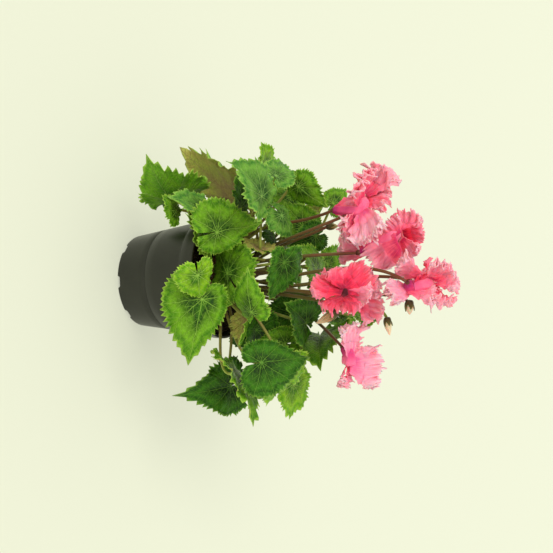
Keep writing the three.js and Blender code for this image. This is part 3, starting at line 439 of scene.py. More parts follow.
# A leaf has the size and pose below unless its own line says otherwise. at is the joint on the
# blade; aim is the compass angle and rise of its midrib and the turn about it; len is the length
# to the tip; wide the half width, droop and cup the bend along and across, fold the lift of both
# halves, skew their inequality, back the tuck of the basal lobes and tip the breadth of the point.
# stem is the turn of the stalk's start about the tuber, its rise there and its reach below the
# blade, then its lean along and across the blade. skin and under are the tones of both faces; the
# dark skin is painted shade, for leaves that sit in shade.
USUAL_LEAF = dict(wide=0.6, droop=20, cup=10, fold=5, skew=0, back=0.4, tip=24,
                  stem=(0, 12, 7, 0.3, 0.4), skin="mid", under="olive")
LEAVES = [USUAL_LEAF | row for row in [
    dict(name="leaf_left_hanging", at=(-58, -20, 42), aim=(-100, 15, -105), len=51, wide=0.5,
         droop=-45, cup=-25, fold=0, skew=0.15, back=0.65, stem=(0, 48, 7, -0.4, -0.4),
         skin="bright", under="bright"),
    dict(name="leaf_left_underside", at=(-57, 12, 76), aim=(-170, -45, -60), len=58, wide=0.5,
         droop=0, cup=30, fold=0, skew=0.25, stem=(0, 12, 7, 0.5, 0)),
    dict(name="leaf_left_narrow", at=(-45, -39, 80), aim=(-120, -15, -30), len=30, cup=5,
         stem=(-30, 34, 7, 0.3, -0.4), skin="blue"),
    dict(name="leaf_front_left", at=(-30, -55, 98), aim=(100, 40, -5), len=38, wide=0.52, cup=30,
         fold=0, skew=0.2, back=0.3, tip=14, stem=(-60, 34, 13, -0.3, 0)),
    dict(name="leaf_front_left_low", at=(-26, -36, 77), aim=(-125, 10, -15), len=30, wide=0.65,
         cup=5, stem=(0, 5, 7, 0.9, 0), skin="bright"),
    dict(name="leaf_rim_left", at=(-46, -54, 66), aim=(-125, 5, -5), len=18, cup=15, fold=-5,
         stem=(-60, 48, 40, 0, 0.4)),
    dict(name="leaf_front", at=(-2, -33, 92), aim=(155, -35, 115), len=35, wide=0.65, droop=25,
         cup=15, fold=-10, back=0.25, stem=(0, 12, 13, -0.3, 0)),
    dict(name="leaf_front_cupped", at=(-2, -79, 96), aim=(35, -15, -40), len=22, wide=0.65,
         droop=15, cup=30, fold=-5, skew=-0.05, back=0.35, stem=(0, 5, 14, -0.3, 0),
         skin="bright"),
    dict(name="leaf_front_right", at=(14, -63, 89), aim=(-10, -10, -50), len=44, wide=0.5, cup=20,
         fold=0, skew=-0.2, back=0.75, stem=(0, 12, 30, 0.3, 0.4)),
    dict(name="leaf_front_upright", at=(17, -52, 83), aim=(95, 50, 60), len=21, droop=15, cup=15,
         fold=0, stem=(0, 12, 30, 0, 0)),
    dict(name="leaf_middle_front", at=(24, -54, 121), aim=(-145, 5, 95), len=30, wide=0.5,
         droop=40, cup=40, fold=-10, skew=0.25, back=0.75, stem=(0, 34, 7, 0.3, 0)),
    dict(name="leaf_middle_right", at=(38, -13, 102), aim=(20, -15, -25), len=24, wide=0.65,
         droop=45, cup=-10, fold=15, skew=0.1, back=0.3, stem=(0, 12, 7, 0, 0), skin="dark"),
    dict(name="leaf_middle_curled", at=(28, -30, 104), aim=(-25, 20, 40), len=24, wide=0.55,
         droop=45, cup=35, fold=-10, skew=0.25, back=0.8, stem=(0, 5, 7, 0.6, 0)),
    dict(name="leaf_right_large", at=(58, -44, 121), aim=(95, 50, 15), len=36, wide=0.55, droop=25,
         cup=20, fold=0, skew=-0.2, back=0.5, tip=20, stem=(0, 12, 30, 0.5, 0), skin="dark"),
    dict(name="leaf_right_pointed", at=(67, -30, 92), aim=(-20, 45, 5), len=41, droop=35, cup=15,
         fold=10, skew=0.05, stem=(0, 12, 20, 0.5, 0)),
    dict(name="leaf_right_hanging", at=(79, -6, 75), aim=(-85, -15, 0), len=44, wide=0.5, droop=45,
         cup=20, fold=10, back=0.5, tip=14, stem=(0, 22, 13, 0.3, 0.4), skin="dark"),
    dict(name="leaf_right_round", at=(81, 23, 112), aim=(0, -5, -15), len=26, wide=0.65, droop=10,
         cup=-5, fold=0, back=0.2, tip=40, skin="bright"),
    dict(name="leaf_right_inner", at=(66, -17, 125), aim=(15, -30, -20), len=34, cup=5,
         stem=(-60, 48, 7, 0.3, -0.4), skin="bright"),
    dict(name="leaf_right_top", at=(47, 36, 129), aim=(-80, 20, -95), len=46, wide=0.55, droop=35,
         fold=20, skew=-0.05, stem=(0, 5, 40, -0.6, 0.4)),
    dict(name="leaf_inner_right", at=(35, 1, 134), aim=(-120, 5, 15), len=29, droop=25, cup=0,
         fold=10, stem=(0, 12, 7, 0, 0), skin="dark"),
    dict(name="leaf_centre", at=(-8, -34, 136), aim=(-5, -15, -20), len=28, droop=30, cup=30,
         fold=10, skew=0.25, back=0.6, stem=(0, 12, 7, -0.3, 0), skin="dark"),
    dict(name="leaf_centre_top", at=(-3, 9, 140), aim=(-135, 0, -5), len=25,
         stem=(120, 34, 25, -0.6, -0.4)),
    dict(name="leaf_left_top", at=(-61, 2, 133), aim=(20, 40, -95), len=25, wide=0.55, droop=35,
         cup=25, fold=-10, skew=-0.05, stem=(0, 48, 40, 0.4, 0.4)),
    dict(name="leaf_left_inner", at=(-32, 35, 127), aim=(130, -5, -40), len=34, droop=40, cup=5,
         fold=-5, back=0.7, stem=(-30, 12, 7, 0.3, 0.4)),
    dict(name="leaf_left_side", at=(-68, -15, 124), aim=(130, 0, 45), len=21, droop=15, cup=5,
         fold=15, skew=-0.05, back=0.45, skin="blue"),
    dict(name="leaf_left_far", at=(-80, 9, 104), aim=(-130, 25, 20), len=21, fold=0,
         stem=(-90, 48, 40, 0.3, -0.4), skin="bright"),
    dict(name="leaf_left_broad", at=(-52, -45, 127), aim=(-140, 0, 0), len=34, droop=45,
         skew=-0.15, back=0.45, stem=(-30, 34, 13, 0.3, 0.4), skin="blue"),
    dict(name="leaf_left_shaded", at=(-48, -25, 101), aim=(-155, 15, 0), len=26, droop=15,
         skin="dark"),
    dict(name="leaf_left_middle", at=(-41, -7, 123), aim=(30, 25, -5), len=19, wide=0.7, droop=45,
         cup=15, fold=-5, skew=-0.1, back=0.2, stem=(0, 22, 13, 0, 0), skin="blue"),
    dict(name="leaf_inner_left", at=(-28, 15, 105), aim=(-95, 10, -15), len=18, droop=35, cup=15,
         fold=-5, stem=(0, 12, 7, 0, 0), skin="dark"),
    dict(name="leaf_inner_small", at=(-18, -13, 108), aim=(145, -60, -135), len=18, wide=0.65,
         cup=15, fold=-5, stem=(-30, 48, 30, -0.3, 0)),
    dict(name="leaf_left_crown", at=(-51, 42, 142), aim=(135, 25, 30), len=18, skew=-0.05,
         stem=(-100, 48, 20, 0.3, 0.4)),
    dict(name="leaf_centre_crown", at=(-6, 49, 132), aim=(150, 25, 20), len=19, back=0.45,
         stem=(0, 12, 7, 0.3, -0.4)),
    dict(name="leaf_right_crown", at=(32, 34, 167), aim=(-70, 15, -70), len=18, droop=25, cup=5,
         fold=10),
    dict(name="leaf_back_crown", at=(36, 56, 138), aim=(50, 10, -85), len=18,
         stem=(0, 48, 7, 0.3, -0.4)),
    dict(name="leaf_right_behind", at=(49, -5, 120), aim=(-80, -60, -5), len=24, droop=10, cup=30,
         skew=0.1, stem=(0, 34, 25, 0.4, 0.4)),
    dict(name="leaf_left_behind", at=(-57, 24, 117), aim=(-105, -60, -5), len=24, droop=0, cup=30,
         skew=-0.1, stem=(-30, 48, 7, 0, -0.4)),
    dict(name="leaf_left_upper", at=(-34, 15, 129), aim=(-160, -30, 60), len=23, droop=40, cup=0,
         stem=(0, 5, 40, 0, -0.4)),
    dict(name="leaf_centre_shaded", at=(-26, 15, 138), aim=(-55, -50, -15), len=20, droop=30,
         cup=20, back=0.45, stem=(-60, 65, 25, 0, -0.4), skin="dark"),
    dict(name="leaf_centre_right", at=(29, 18, 114), aim=(-80, -60, -5), len=24, droop=0, cup=30,
         stem=(0, 12, 7, 0, 0), skin="dark"),
    dict(name="leaf_right_shaded", at=(41, 7, 90), aim=(-55, -50, -25), len=22, droop=40, cup=20,
         stem=(0, 12, 7, 0, 0), skin="dark"),
    dict(name="leaf_back_left", at=(-40, 45, 102), aim=(130, -15, 0), len=36, wide=0.62, droop=25,
         fold=0, stem=(-60, 34, 7, 0.3, 0.4)),
    dict(name="leaf_back", at=(-8, 58, 96), aim=(100, -25, 0), len=38, wide=0.62, droop=25, fold=0,
         stem=(0, 12, 7, 0.5, 0)),
    dict(name="leaf_back_middle", at=(20, 57, 104), aim=(75, -25, 0), len=38, wide=0.62, droop=25,
         fold=0, stem=(0, 12, 7, 0.5, 0)),
    dict(name="leaf_back_right", at=(57, 44, 94), aim=(40, -30, 0), len=34, wide=0.62, droop=25,
         fold=0, stem=(0, 12, 7, 0.5, 0)),
    dict(name="leaf_back_left_low", at=(-52, 28, 96), aim=(155, -35, 0), len=32, wide=0.62,
         droop=25, fold=0, stem=(0, 12, 7, 0, 0)),
    dict(name="leaf_back_inner", at=(4, 21, 136), aim=(85, 5, 0), len=30, wide=0.62, droop=25,
         fold=0, stem=(0, 48, 25, -0.6, 0.4)),
]]


def turned(head, pitch, roll=0.0):
    """Columns along, across and out of a piece: along points to head and pitch, and the other
    two are rolled about it."""
    h, p, r = (math.radians(v) for v in (head, pitch, roll))
    along = np.array([math.cos(p) * math.cos(h), math.cos(p) * math.sin(h), math.sin(p)])
    level = np.array([-math.sin(p) * math.cos(h), -math.sin(p) * math.sin(h), math.cos(p)])
    out = math.cos(r) * level + math.sin(r) * np.cross(level, along)
    return np.stack([along, np.cross(out, along), out], 1)


def unit(vector):
    """The vector divided by its length."""
    vector = np.asarray(vector, float)
    return vector / np.linalg.norm(vector, axis=-1, keepdims=True)


def stalk_path(turn, foot, rise, out, arrive, reach, top, steps):
    """Cubic Bezier path, its four points weighed by (1-t)^3, 3t(1-t)^2, 3t^2(1-t) and t^3. It
    leaves the crown at a compass turn, foot from the axis, climbs by rise while it moves outwards
    by out of that, and comes to its top along the unit vector arrive, from reach below it."""
    outward = np.array([math.cos(turn), math.sin(turn), 0])
    start = outward * foot + [0, 0, STEM_LEVEL]
    points = [start, start + rise * (out * outward + [0, 0, 1]), top - arrive * reach, top]
    t = np.linspace(0, 1, steps)[:, None]
    weights = [(1 - t) ** 3, 3 * t * (1 - t) ** 2, 3 * t * t * (1 - t), t**3]
    return sum(weight * point for weight, point in zip(weights, points))


def tube(path, radius, sides):
    """Rings about a path: point + radius * (cos a * side + sin a * other), where side and other
    are square to the path and to each other. radius is one value per step."""
    tangent = unit(np.gradient(path, axis=0))
    span = unit(path[-1] - path[0])
    pole = unit(np.cross(span, [0.31, -0.94, 0.14]) if abs(span[2]) > 0.5 else [0.1, 0.2, 1])
    side = unit(np.cross(pole, tangent))
    other = np.cross(tangent, side)
    a = np.arange(sides) * 2 * math.pi / sides
    ring = np.cos(a)[:, None] * side[:, None] + np.sin(a)[:, None] * other[:, None]
    return path[:, None] + radius[:, None, None] * ring


def per_point(values, columns):
    """A value for each point of capped rings: one per ring, then 0 or 1 at the two end points."""
    return np.concatenate([np.repeat(values, columns), np.round(values[[0, -1]])])


def merged(parts):
    """One list of points and of faces from many: each part's indices move past the last part's."""
    points = np.concatenate([p for p, _ in parts])
    starts = np.cumsum([0] + [len(p) for p, _ in parts])[:-1]
    faces = [f + s for (_, group), s in zip(parts, starts) for f in group]
    return points, faces


def stem_tissue(name, base, middle, top):
    """Living stalk: a satin skin whose colour runs along it by the attribute along, in patches
    about 11 mm long, under a down drawn 0.7 mm coarse, as finer hairs don't show."""
    material, tree, shader = new_material(
        name, Roughness=0.42, IOR=1.4, Specular_IOR_Level=0.45, Sheen_Weight=0.15)
    along = add(tree, "Attribute", attribute_name="along").outputs["Fac"]
    place = add(tree, "TexCoord").outputs["Object"]
    patch = add(tree, "TexNoise", {"Vector": place, "Scale": scale_of(11.11), "Detail": 4.0})
    shift = add(tree, "MapRange", [patch, 0.3, 0.7, -0.18, 0.18])
    mixed = add(tree, "Math", [along, shift], operation="ADD")
    shade = add(tree, "ValToRGB", [mixed], stops=[(0.05, base), (0.5, middle), (0.95, top)])
    down = add(tree, "TexNoise", {"Vector": place, "Scale": scale_of(0.6667), "Detail": 2.0})
    relief = add(tree, "Bump", {"Height": down, "Strength": 0.15, "Distance": 0.2 * MM})
    feed(tree, shader, Base_Color=shade, Normal=relief)
    return material


# Stalk tissue, red-brown at the foot and green above. The stem is 2.4 mm thick at the tuber and
# 1.8 mm under the blade, where it swells again at the joint.
leaf_stem_green = stem_tissue("leaf_stalk", "#6A4E2C", "#8A8438", "#98A844")
t = np.linspace(0, 1, STEM_STEPS)
stem_radius = 1.2 - 0.3 * t + 0.25 * t**12
leaf_stems = []
for leaf in LEAVES:
    turn, rise, reach, lean, slant = leaf["stem"]
    axes = turned(*leaf["aim"])
    joint = np.array(leaf["at"]) - axes[:, 2] * JOINT_DEPTH
    start_turn = math.atan2(leaf["at"][1], leaf["at"][0]) + math.radians(turn)
    path = stalk_path(start_turn, STEM_START, rise, STEM_OUT, axes @ unit([lean, slant, 1]),
                      reach, joint, STEM_STEPS)
    leaf_stems.append(capped(tube(path, stem_radius, STEM_SIDES)))
stems = new_piece("leaf_stalks", *merged(leaf_stems), leaf_stem_green,
                  along=np.tile(per_point(t, STEM_SIDES), len(LEAVES)))
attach(stems, "root")
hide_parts("tuber_and_stalks")


# Flower stalks and bud stalks. Thicker and redder than the leaf stalks, they rise from the
# tuber's crown and nod at the top, where the bloom hangs.
FLOWER_START = 5
FLOWER_STEPS = 34
CLEAR_SHARE = 0.35
# to is the point of the bloom or bud and clear the room kept there, start the compass angle of
# the stalk's foot, rise and out its climb there, and lean and reach its way up to the bloom.
FLOWER_STALKS = [
    dict(to=(9, -9, 213), clear=2.3, start=315, rise=45, out=0.3, reach=45, lean=(0.7, 0)),
    dict(to=(9, 5, 214), clear=5, start=315, rise=70, out=0.3, reach=45, lean=(0.3, 0)),
    dict(to=(-12, -4, 177), clear=2.3, start=225, rise=45, out=0.3, reach=25, lean=(0, 0.4)),
    dict(to=(-42, -4, 160), clear=2.3, start=210, rise=30, out=1.5, reach=60, lean=(-0.2, -0.7)),
    dict(to=(-39, -2, 172), clear=7, start=135, rise=10, out=1.5, reach=25, lean=(-0.4, 0.4)),
    dict(to=(14, -31, 175), clear=5.8, start=315, rise=20, out=0.3, reach=12, lean=(0, -0.3)),
    dict(to=(20, -2, 175), clear=4.3, start=270, rise=45, out=0.3, reach=12, lean=(-0.3, 0)),
    dict(to=(51, -8, 164.5), clear=2.3, start=67, rise=45, out=1, reach=45, lean=(0.5, -1)),
    dict(to=(23, 16, 205.6), clear=0.9, start=315, rise=45, out=0.6, reach=25, lean=(0.7, -0.4)),
    dict(to=(34, 18, 188.4), clear=0.8, start=315, rise=70, out=0.3, reach=25, lean=(2.1, 0),
         green=True),
    dict(to=(26.6, -18.6, 166.6), clear=2, start=315, rise=70, out=0.3, reach=12, lean=(1.9, 0)),
    dict(to=(-32, 8.6, 150.6), clear=0.8, start=180, rise=20, out=0.3, reach=12, lean=(-0.4, 0)),
]
# Flower stalks redden all the way up, 2.9 mm thick at the foot and 2.1 mm at the top; a young
# bud's stalk is still green.
flower_stem_red = stem_tissue("flower_stalk", "#4A481C", "#625422", "#6E3A20")
bud_stem_green = stem_tissue("bud_stalk", "#44401A", "#5E7422", "#7A9030")
t = np.linspace(0, 1, FLOWER_STEPS)
stem_radius = 1.45 - 0.4 * t
red_stems = []
green_stems = []
for stalk in FLOWER_STALKS:
    arrive = unit([*stalk["lean"], 1])
    top = np.array(stalk["to"]) - arrive * stalk["clear"] * CLEAR_SHARE
    path = stalk_path(math.radians(stalk["start"]), FLOWER_START, stalk["rise"], stalk["out"],
                      arrive, stalk["reach"], top, FLOWER_STEPS)
    group = green_stems if "green" in stalk else red_stems
    group.append(capped(tube(path, stem_radius, STEM_SIDES)))
for name, group, material in [("flower_stalks", red_stems, flower_stem_red),
                              ("green_bud_stalk", green_stems, bud_stem_green)]:
    piece = new_piece(name, *merged(group), material,
                      along=np.tile(per_point(t, STEM_SIDES), len(group)))
    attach(piece, "root")
    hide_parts("tuber_and_stalks")


# Leaf blades. Heart-shaped and finely toothed, each hangs from its stalk at the notch. The upper
# face is green and waxy with a darker heart and paler veins and teeth; the underside is duller,
# with the veins raised.
BLADE_ROWS = 12
TEETH = 44
TOOTH_STEPS = 4
BLADE_COLUMNS = TEETH * TOOTH_STEPS + 1
NOTCH_ANGLE = 174
LOBE_ANGLE = 110
BLADE_THICKNESS = 0.6
VEIN_TURN = 36
VEIN_WANDER = 2.6
SIDE_VEIN_GAP = 5
SIDE_VEIN_SLANT = 1.3


def arc(x, z, bend, length):
    """Rolls a flat strip into an arc: x becomes the way along a circle that turns by bend degrees
    over the length, and z the height above it."""
    if bend == 0:
        return x, z
    k = math.radians(bend) / length
    return np.sin(k * x) / k + z * np.sin(k * x), z * np.cos(k * x) - (1 - np.cos(k * x)) / k


def face_out(grid):
    """Unit normals of a grid of points: the cross product of its two directions."""
    return unit(np.cross(np.gradient(grid, axis=0), np.gradient(grid, axis=1)) + 1e-12)


def blade(leaf):
    """Upper face of a blade before it is placed, by rho, from the joint (0) to the edge (1), and
    the angle a from the tip. The heart's radius is wide + (1 - wide) exp(-|a| / tip), tucked in
    behind and cut by uneven teeth at the edge. The sheet is lifted by three trains of waves round
    it and by a ridge between each two veins, folded at the midrib and bent by two arcs."""
    length = leaf["len"]
    phase = leaf["at"][0] + leaf["at"][2]
    a = np.linspace(-NOTCH_ANGLE, NOTCH_ANGLE, BLADE_COLUMNS)[None, :]
    turn = np.radians(a)
    rho = (1 - (1 - np.linspace(0, 1, BLADE_ROWS + 1)) ** 1.35)[1:, None]
    tuck = np.clip((abs(a) - LOBE_ANGLE) / 65, 0, 2)
    radius = leaf["wide"] + (1 - leaf["wide"]) * np.exp(-abs(a) / leaf["tip"])
    radius = radius * (1 - leaf["back"] * tuck**2) * (1 + leaf["skew"] * np.sin(turn))
    tooth = 0.5 - 0.5 * np.cos((a + NOTCH_ANGLE) / (2 * NOTCH_ANGLE) * TEETH * 2 * math.pi)
    uneven = 0.1 + 0.045 * np.sin(turn * 4.3 + 2 * phase)
    radius = radius * (1 - uneven * (tooth - 0.4) * rho**10)
    flat_x = rho * radius * np.cos(turn) * length
    flat_y = rho * radius * np.sin(turn) * length
    wave = 0.04 * length * rho**2 * np.sin(5 * turn + phase)
    wave = wave + 0.034 * length * rho**4 * np.sin(14 * turn + 3 * phase)
    wave = wave + 0.02 * length * rho**8 * np.sin(37 * turn + phase)
    quilt = 0.03 * length * rho**1.6 * (1 - rho**6) * abs(np.sin(math.pi * a / VEIN_TURN))
    lift = wave + quilt + math.radians(leaf["fold"]) * abs(flat_y)
    y, drop = arc(flat_y, 0, leaf["cup"], 0.62 * length)
    x, z = arc(flat_x, lift + drop, leaf["droop"], length)
    return np.stack([x, y, z], 2), np.stack([flat_x, flat_y], 2), np.broadcast_to(rho, x.shape)


def leaf_tissue(name, heart, body, light, edge, vein, relief_sign, gloss):
    """Leaf skin. Main veins leave the joint every VEIN_TURN degrees and thin outwards; side veins
    branch off them in chevrons 5 mm apart, with a net of 2.4 mm cells between. By the attribute
    rho the colour runs from the dark heart, which reaches out along the veins, over a paler band
    and a darker margin to the pale teeth. relief_sign raises or sinks the veins."""
    material, tree, shader = new_material(
        name, Roughness=gloss, IOR=1.42, Specular_IOR_Level=0.16)
    place = add(tree, "TexCoord").outputs["Object"]
    flat = add(tree, "UVMap", uv_map="uv").outputs["UV"]
    rho = add(tree, "Attribute", attribute_name="rho").outputs["Fac"]
    wander = add(tree, "TexNoise", {"Vector": place, "Scale": scale_of(9.091), "Detail": 3.0})
    centred = add(
        tree, "VectorMath", [wander.outputs["Color"], (0.5, 0.5, 0.5)], operation="SUBTRACT")
    shifted = add(tree, "VectorMath", {0: centred, "Scale": VEIN_WANDER}, operation="SCALE")
    spot = add(tree, "VectorMath", [flat, shifted], operation="ADD")
    split = add(tree, "SeparateXYZ", [spot])
    reach = add(tree, "VectorMath", [spot], operation="LENGTH").outputs["Value"]
    # Main veins: how far the spot is from the nearest one, sideways.
    angle = add(tree, "Math", [split.outputs[1], split.outputs[0]], operation="ARCTAN2")
    steps = add(tree, "Math", [angle, 1 / math.radians(VEIN_TURN), 0.5], operation="MULTIPLY_ADD")
    part = add(tree, "Math", [steps], operation="FRACT")
    half = add(tree, "Math", [part, 0.5], operation="SUBTRACT")
    away = add(tree, "Math", [half], operation="ABSOLUTE")
    arm = add(tree, "Math", [reach, math.radians(VEIN_TURN)], operation="MULTIPLY")
    off_vein = add(tree, "Math", [away, arm], operation="MULTIPLY")
    thick = add(tree, "MapRange", [rho, 0.0, 1.0, 0.5, 0.3])
    main = add(tree, "MapRange", [off_vein, 0.1, thick, 1.0, 0.0], interpolation_type="SMOOTHSTEP")
    # Side veins: stripes of the distance from the joint, slanted back by that from the main vein.
    slope = add(tree, "Math", [off_vein, -SIDE_VEIN_SLANT, reach], operation="MULTIPLY_ADD")
    branch = add(tree, "Math", [slope, 1 / SIDE_VEIN_GAP], operation="MULTIPLY")
    branch = add(tree, "Math", [branch, 1.0], operation="FRACT")
    branch = add(tree, "Math", [branch, 0.5], operation="SUBTRACT")
    branch = add(tree, "Math", [branch], operation="ABSOLUTE")
    side = add(tree, "MapRange", [branch, 0.02, 0.1, 0.6, 0.0], interpolation_type="SMOOTHSTEP")
    net = add(
        tree, "TexVoronoi", {"Vector": place, "Scale": scale_of(2.381)}, feature="DISTANCE_TO_EDGE")
    mesh_vein = add(tree, "MapRange", [net, 0.0, 0.12, 0.24, 0.0])
    veins = add(tree, "Math", [main, side], operation="MAXIMUM")
    veins = add(tree, "Math", [veins, mesh_vein], operation="MAXIMUM")
    # Zones: rho, blotted by a cloud and drawn out along the main veins.
    cloud = add(tree, "TexNoise",
                {"Vector": place, "Scale": scale_of(13.33), "Detail": 5.0, "Roughness": 0.6})
    blot = add(tree, "MapRange", [cloud, 0.3, 0.7, -0.16, 0.16])
    zone = add(tree, "Math", [rho, blot], operation="ADD")
    ragged = add(tree, "MapRange", [away, 0.0, 0.5, -0.05, 0.06])
    zone = add(tree, "Math", [zone, ragged], operation="ADD")
    shade = add(tree, "ValToRGB", [zone], stops=[
        (0.0, body), (0.28, heart), (0.7, light), (0.86, body), (1.0, light)])
    margin = add(tree, "MapRange", [rho, 0.93, 1.0, 0.0, 0.75])
    edged = add(tree, "MixRGB", [margin, shade, linear(edge)])
    weight = add(tree, "Math", [veins, 0.7], operation="MULTIPLY")
    coloured = add(tree, "MixRGB", [weight, edged, linear(vein)])
    mottle = add(tree, "TexNoise", {"Vector": place, "Scale": scale_of(1.667), "Detail": 3.0})
    depth = add(tree, "MapRange", [mottle, 0.3, 0.7, 0.84, 1.12])
    final = add(tree, "VectorMath", {0: coloured, "Scale": depth}, operation="SCALE")
    rough = add(tree, "MapRange", [mottle, 0.3, 0.7, gloss - 0.06, gloss + 0.08])
    height = add(tree, "Math", [veins, relief_sign, mottle], operation="MULTIPLY_ADD")
    relief = add(tree, "Bump", {"Height": height, "Strength": 0.8, "Distance": 1 * MM})
    feed(tree, shader, Base_Color=final, Roughness=rough, Normal=relief)
    return material


# Upper skins: waxy, from the blue-green of the shady side to the yellow-green of young leaves,
# with sunken veins. Undersides: duller and olive, flushed brown, with raised veins.
upper_skins = dict(
    mid=leaf_tissue("leaf_upper_green",
                    "#163A02", "#3A7006", "#6CA01A", "#ACCC50", "#92BE4A", -0.8, 0.38),
    blue=leaf_tissue("leaf_upper_blue_green",
                     "#18440E", "#367020", "#689C34", "#A8CC5C", "#90BC5C", -0.8, 0.38),
    bright=leaf_tissue("leaf_upper_yellow_green",
                       "#2A6006", "#5A960C", "#88B81E", "#B8D860", "#A8D05C", -0.8, 0.36),
    # Painted shade: a darker copy of the green skin, given to the leaves that sit in shade.
    dark=leaf_tissue("leaf_upper_painted_shade",
                     "#0C2802", "#1E4A06", "#3A7010", "#90B448", "#6A9A38", -0.8, 0.36),
)
under_skins = dict(
    olive=leaf_tissue("leaf_underside",
                      "#A08A5C", "#B2A856", "#AAB250", "#BCC468", "#B49A68", 1.0, 0.5),
    bright=leaf_tissue("leaf_underside_pale",
                       "#3E7A10", "#549014", "#70A820", "#A8CC54", "#9CC45C", 1.0, 0.46),
)


def shell(count, rim):
    """Faces between an upper and a lower sheet of count points each: rim is the closed list of
    boundary points, walked with the upper face on its left."""
    after = np.roll(rim, -1)
    return np.stack([rim, rim + count, after + count, after], 1)


cell_row, cell_column = np.meshgrid(
    np.arange(BLADE_ROWS - 1), np.arange(BLADE_COLUMNS - 1), indexing="ij")
cell = (1 + cell_row * BLADE_COLUMNS + cell_column).ravel()
blade_quads = np.stack([cell, cell + BLADE_COLUMNS, cell + BLADE_COLUMNS + 1, cell + 1], 1)
spoke = np.arange(BLADE_COLUMNS - 1)
blade_fan = np.stack([np.zeros(BLADE_COLUMNS - 1, int), 1 + spoke, 2 + spoke], 1)
first_side = 1 + np.arange(BLADE_ROWS) * BLADE_COLUMNS
blade_rim = np.concatenate([
    [0], first_side, first_side[-1] + 1 + spoke, first_side[:-1][::-1] + BLADE_COLUMNS - 1])
count = 1 + BLADE_ROWS * BLADE_COLUMNS
blade_faces = [blade_fan, blade_quads, blade_fan[:, ::-1] + count, blade_quads[:, ::-1] + count,
               shell(count, blade_rim)]
UPPER, UNDER = 0, 1
blade_slots = np.concatenate([
    np.full(len(f), s) for f, s in zip(blade_faces, (UPPER, UPPER, UNDER, UNDER, UPPER))])
for leaf in LEAVES:
    sheet, flat, rho = blade(leaf)
    normals = face_out(sheet)
    centre_normal = unit(normals[0].mean(0))
    half = BLADE_THICKNESS / 2 * (1 - 0.5 * rho**6)[..., None]
    sides = []
    for sign in (1, -1):
        grid = (sheet + sign * half * normals).reshape(-1, 3)
        sides.append(np.concatenate([[sign * BLADE_THICKNESS / 2 * centre_normal], grid]))
    points = np.concatenate(sides) @ turned(*leaf["aim"]).T + leaf["at"]
    spread = np.concatenate([[[0, 0]], flat.reshape(-1, 2)])
    zone = np.concatenate([[0], rho.ravel()])
    piece = new_piece(leaf["name"] + "_blade", points, blade_faces,
                      [upper_skins[leaf["skin"]], under_skins[leaf["under"]]], blade_slots,
                      uv=np.tile(spread, (2, 1)), rho=np.tile(zone, 2))
    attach(piece, "root")
    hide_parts(leaf["name"])


# Blooms. Fringed petals, bent back and crimped at the edge, grow from a magenta throat; a small
# reddened calyx closes it at the stalk. Pale pink at the edge, rose within, deep at the root.
PETAL_ROWS = 24
PETAL_COLUMNS = 75
PETAL_THICKNESS = 0.5
CREST_ROWS = 13
CREST_START = 0.42
CREST_END = 0.97
CREST_LIFT = 0.3
CREST_SHIFT = 2.1
UV_LENGTH = 20
UV_HALF = 10
THROAT_STEPS = 24
THROAT_SIDES = 30
THROAT_RIBS = 5
SEPALS = 5
SEPAL_ROWS = 8
SEPAL_COLUMNS = 7
SEPAL_THICKNESS = 0.4
BLOOM_CALYX = 2.2
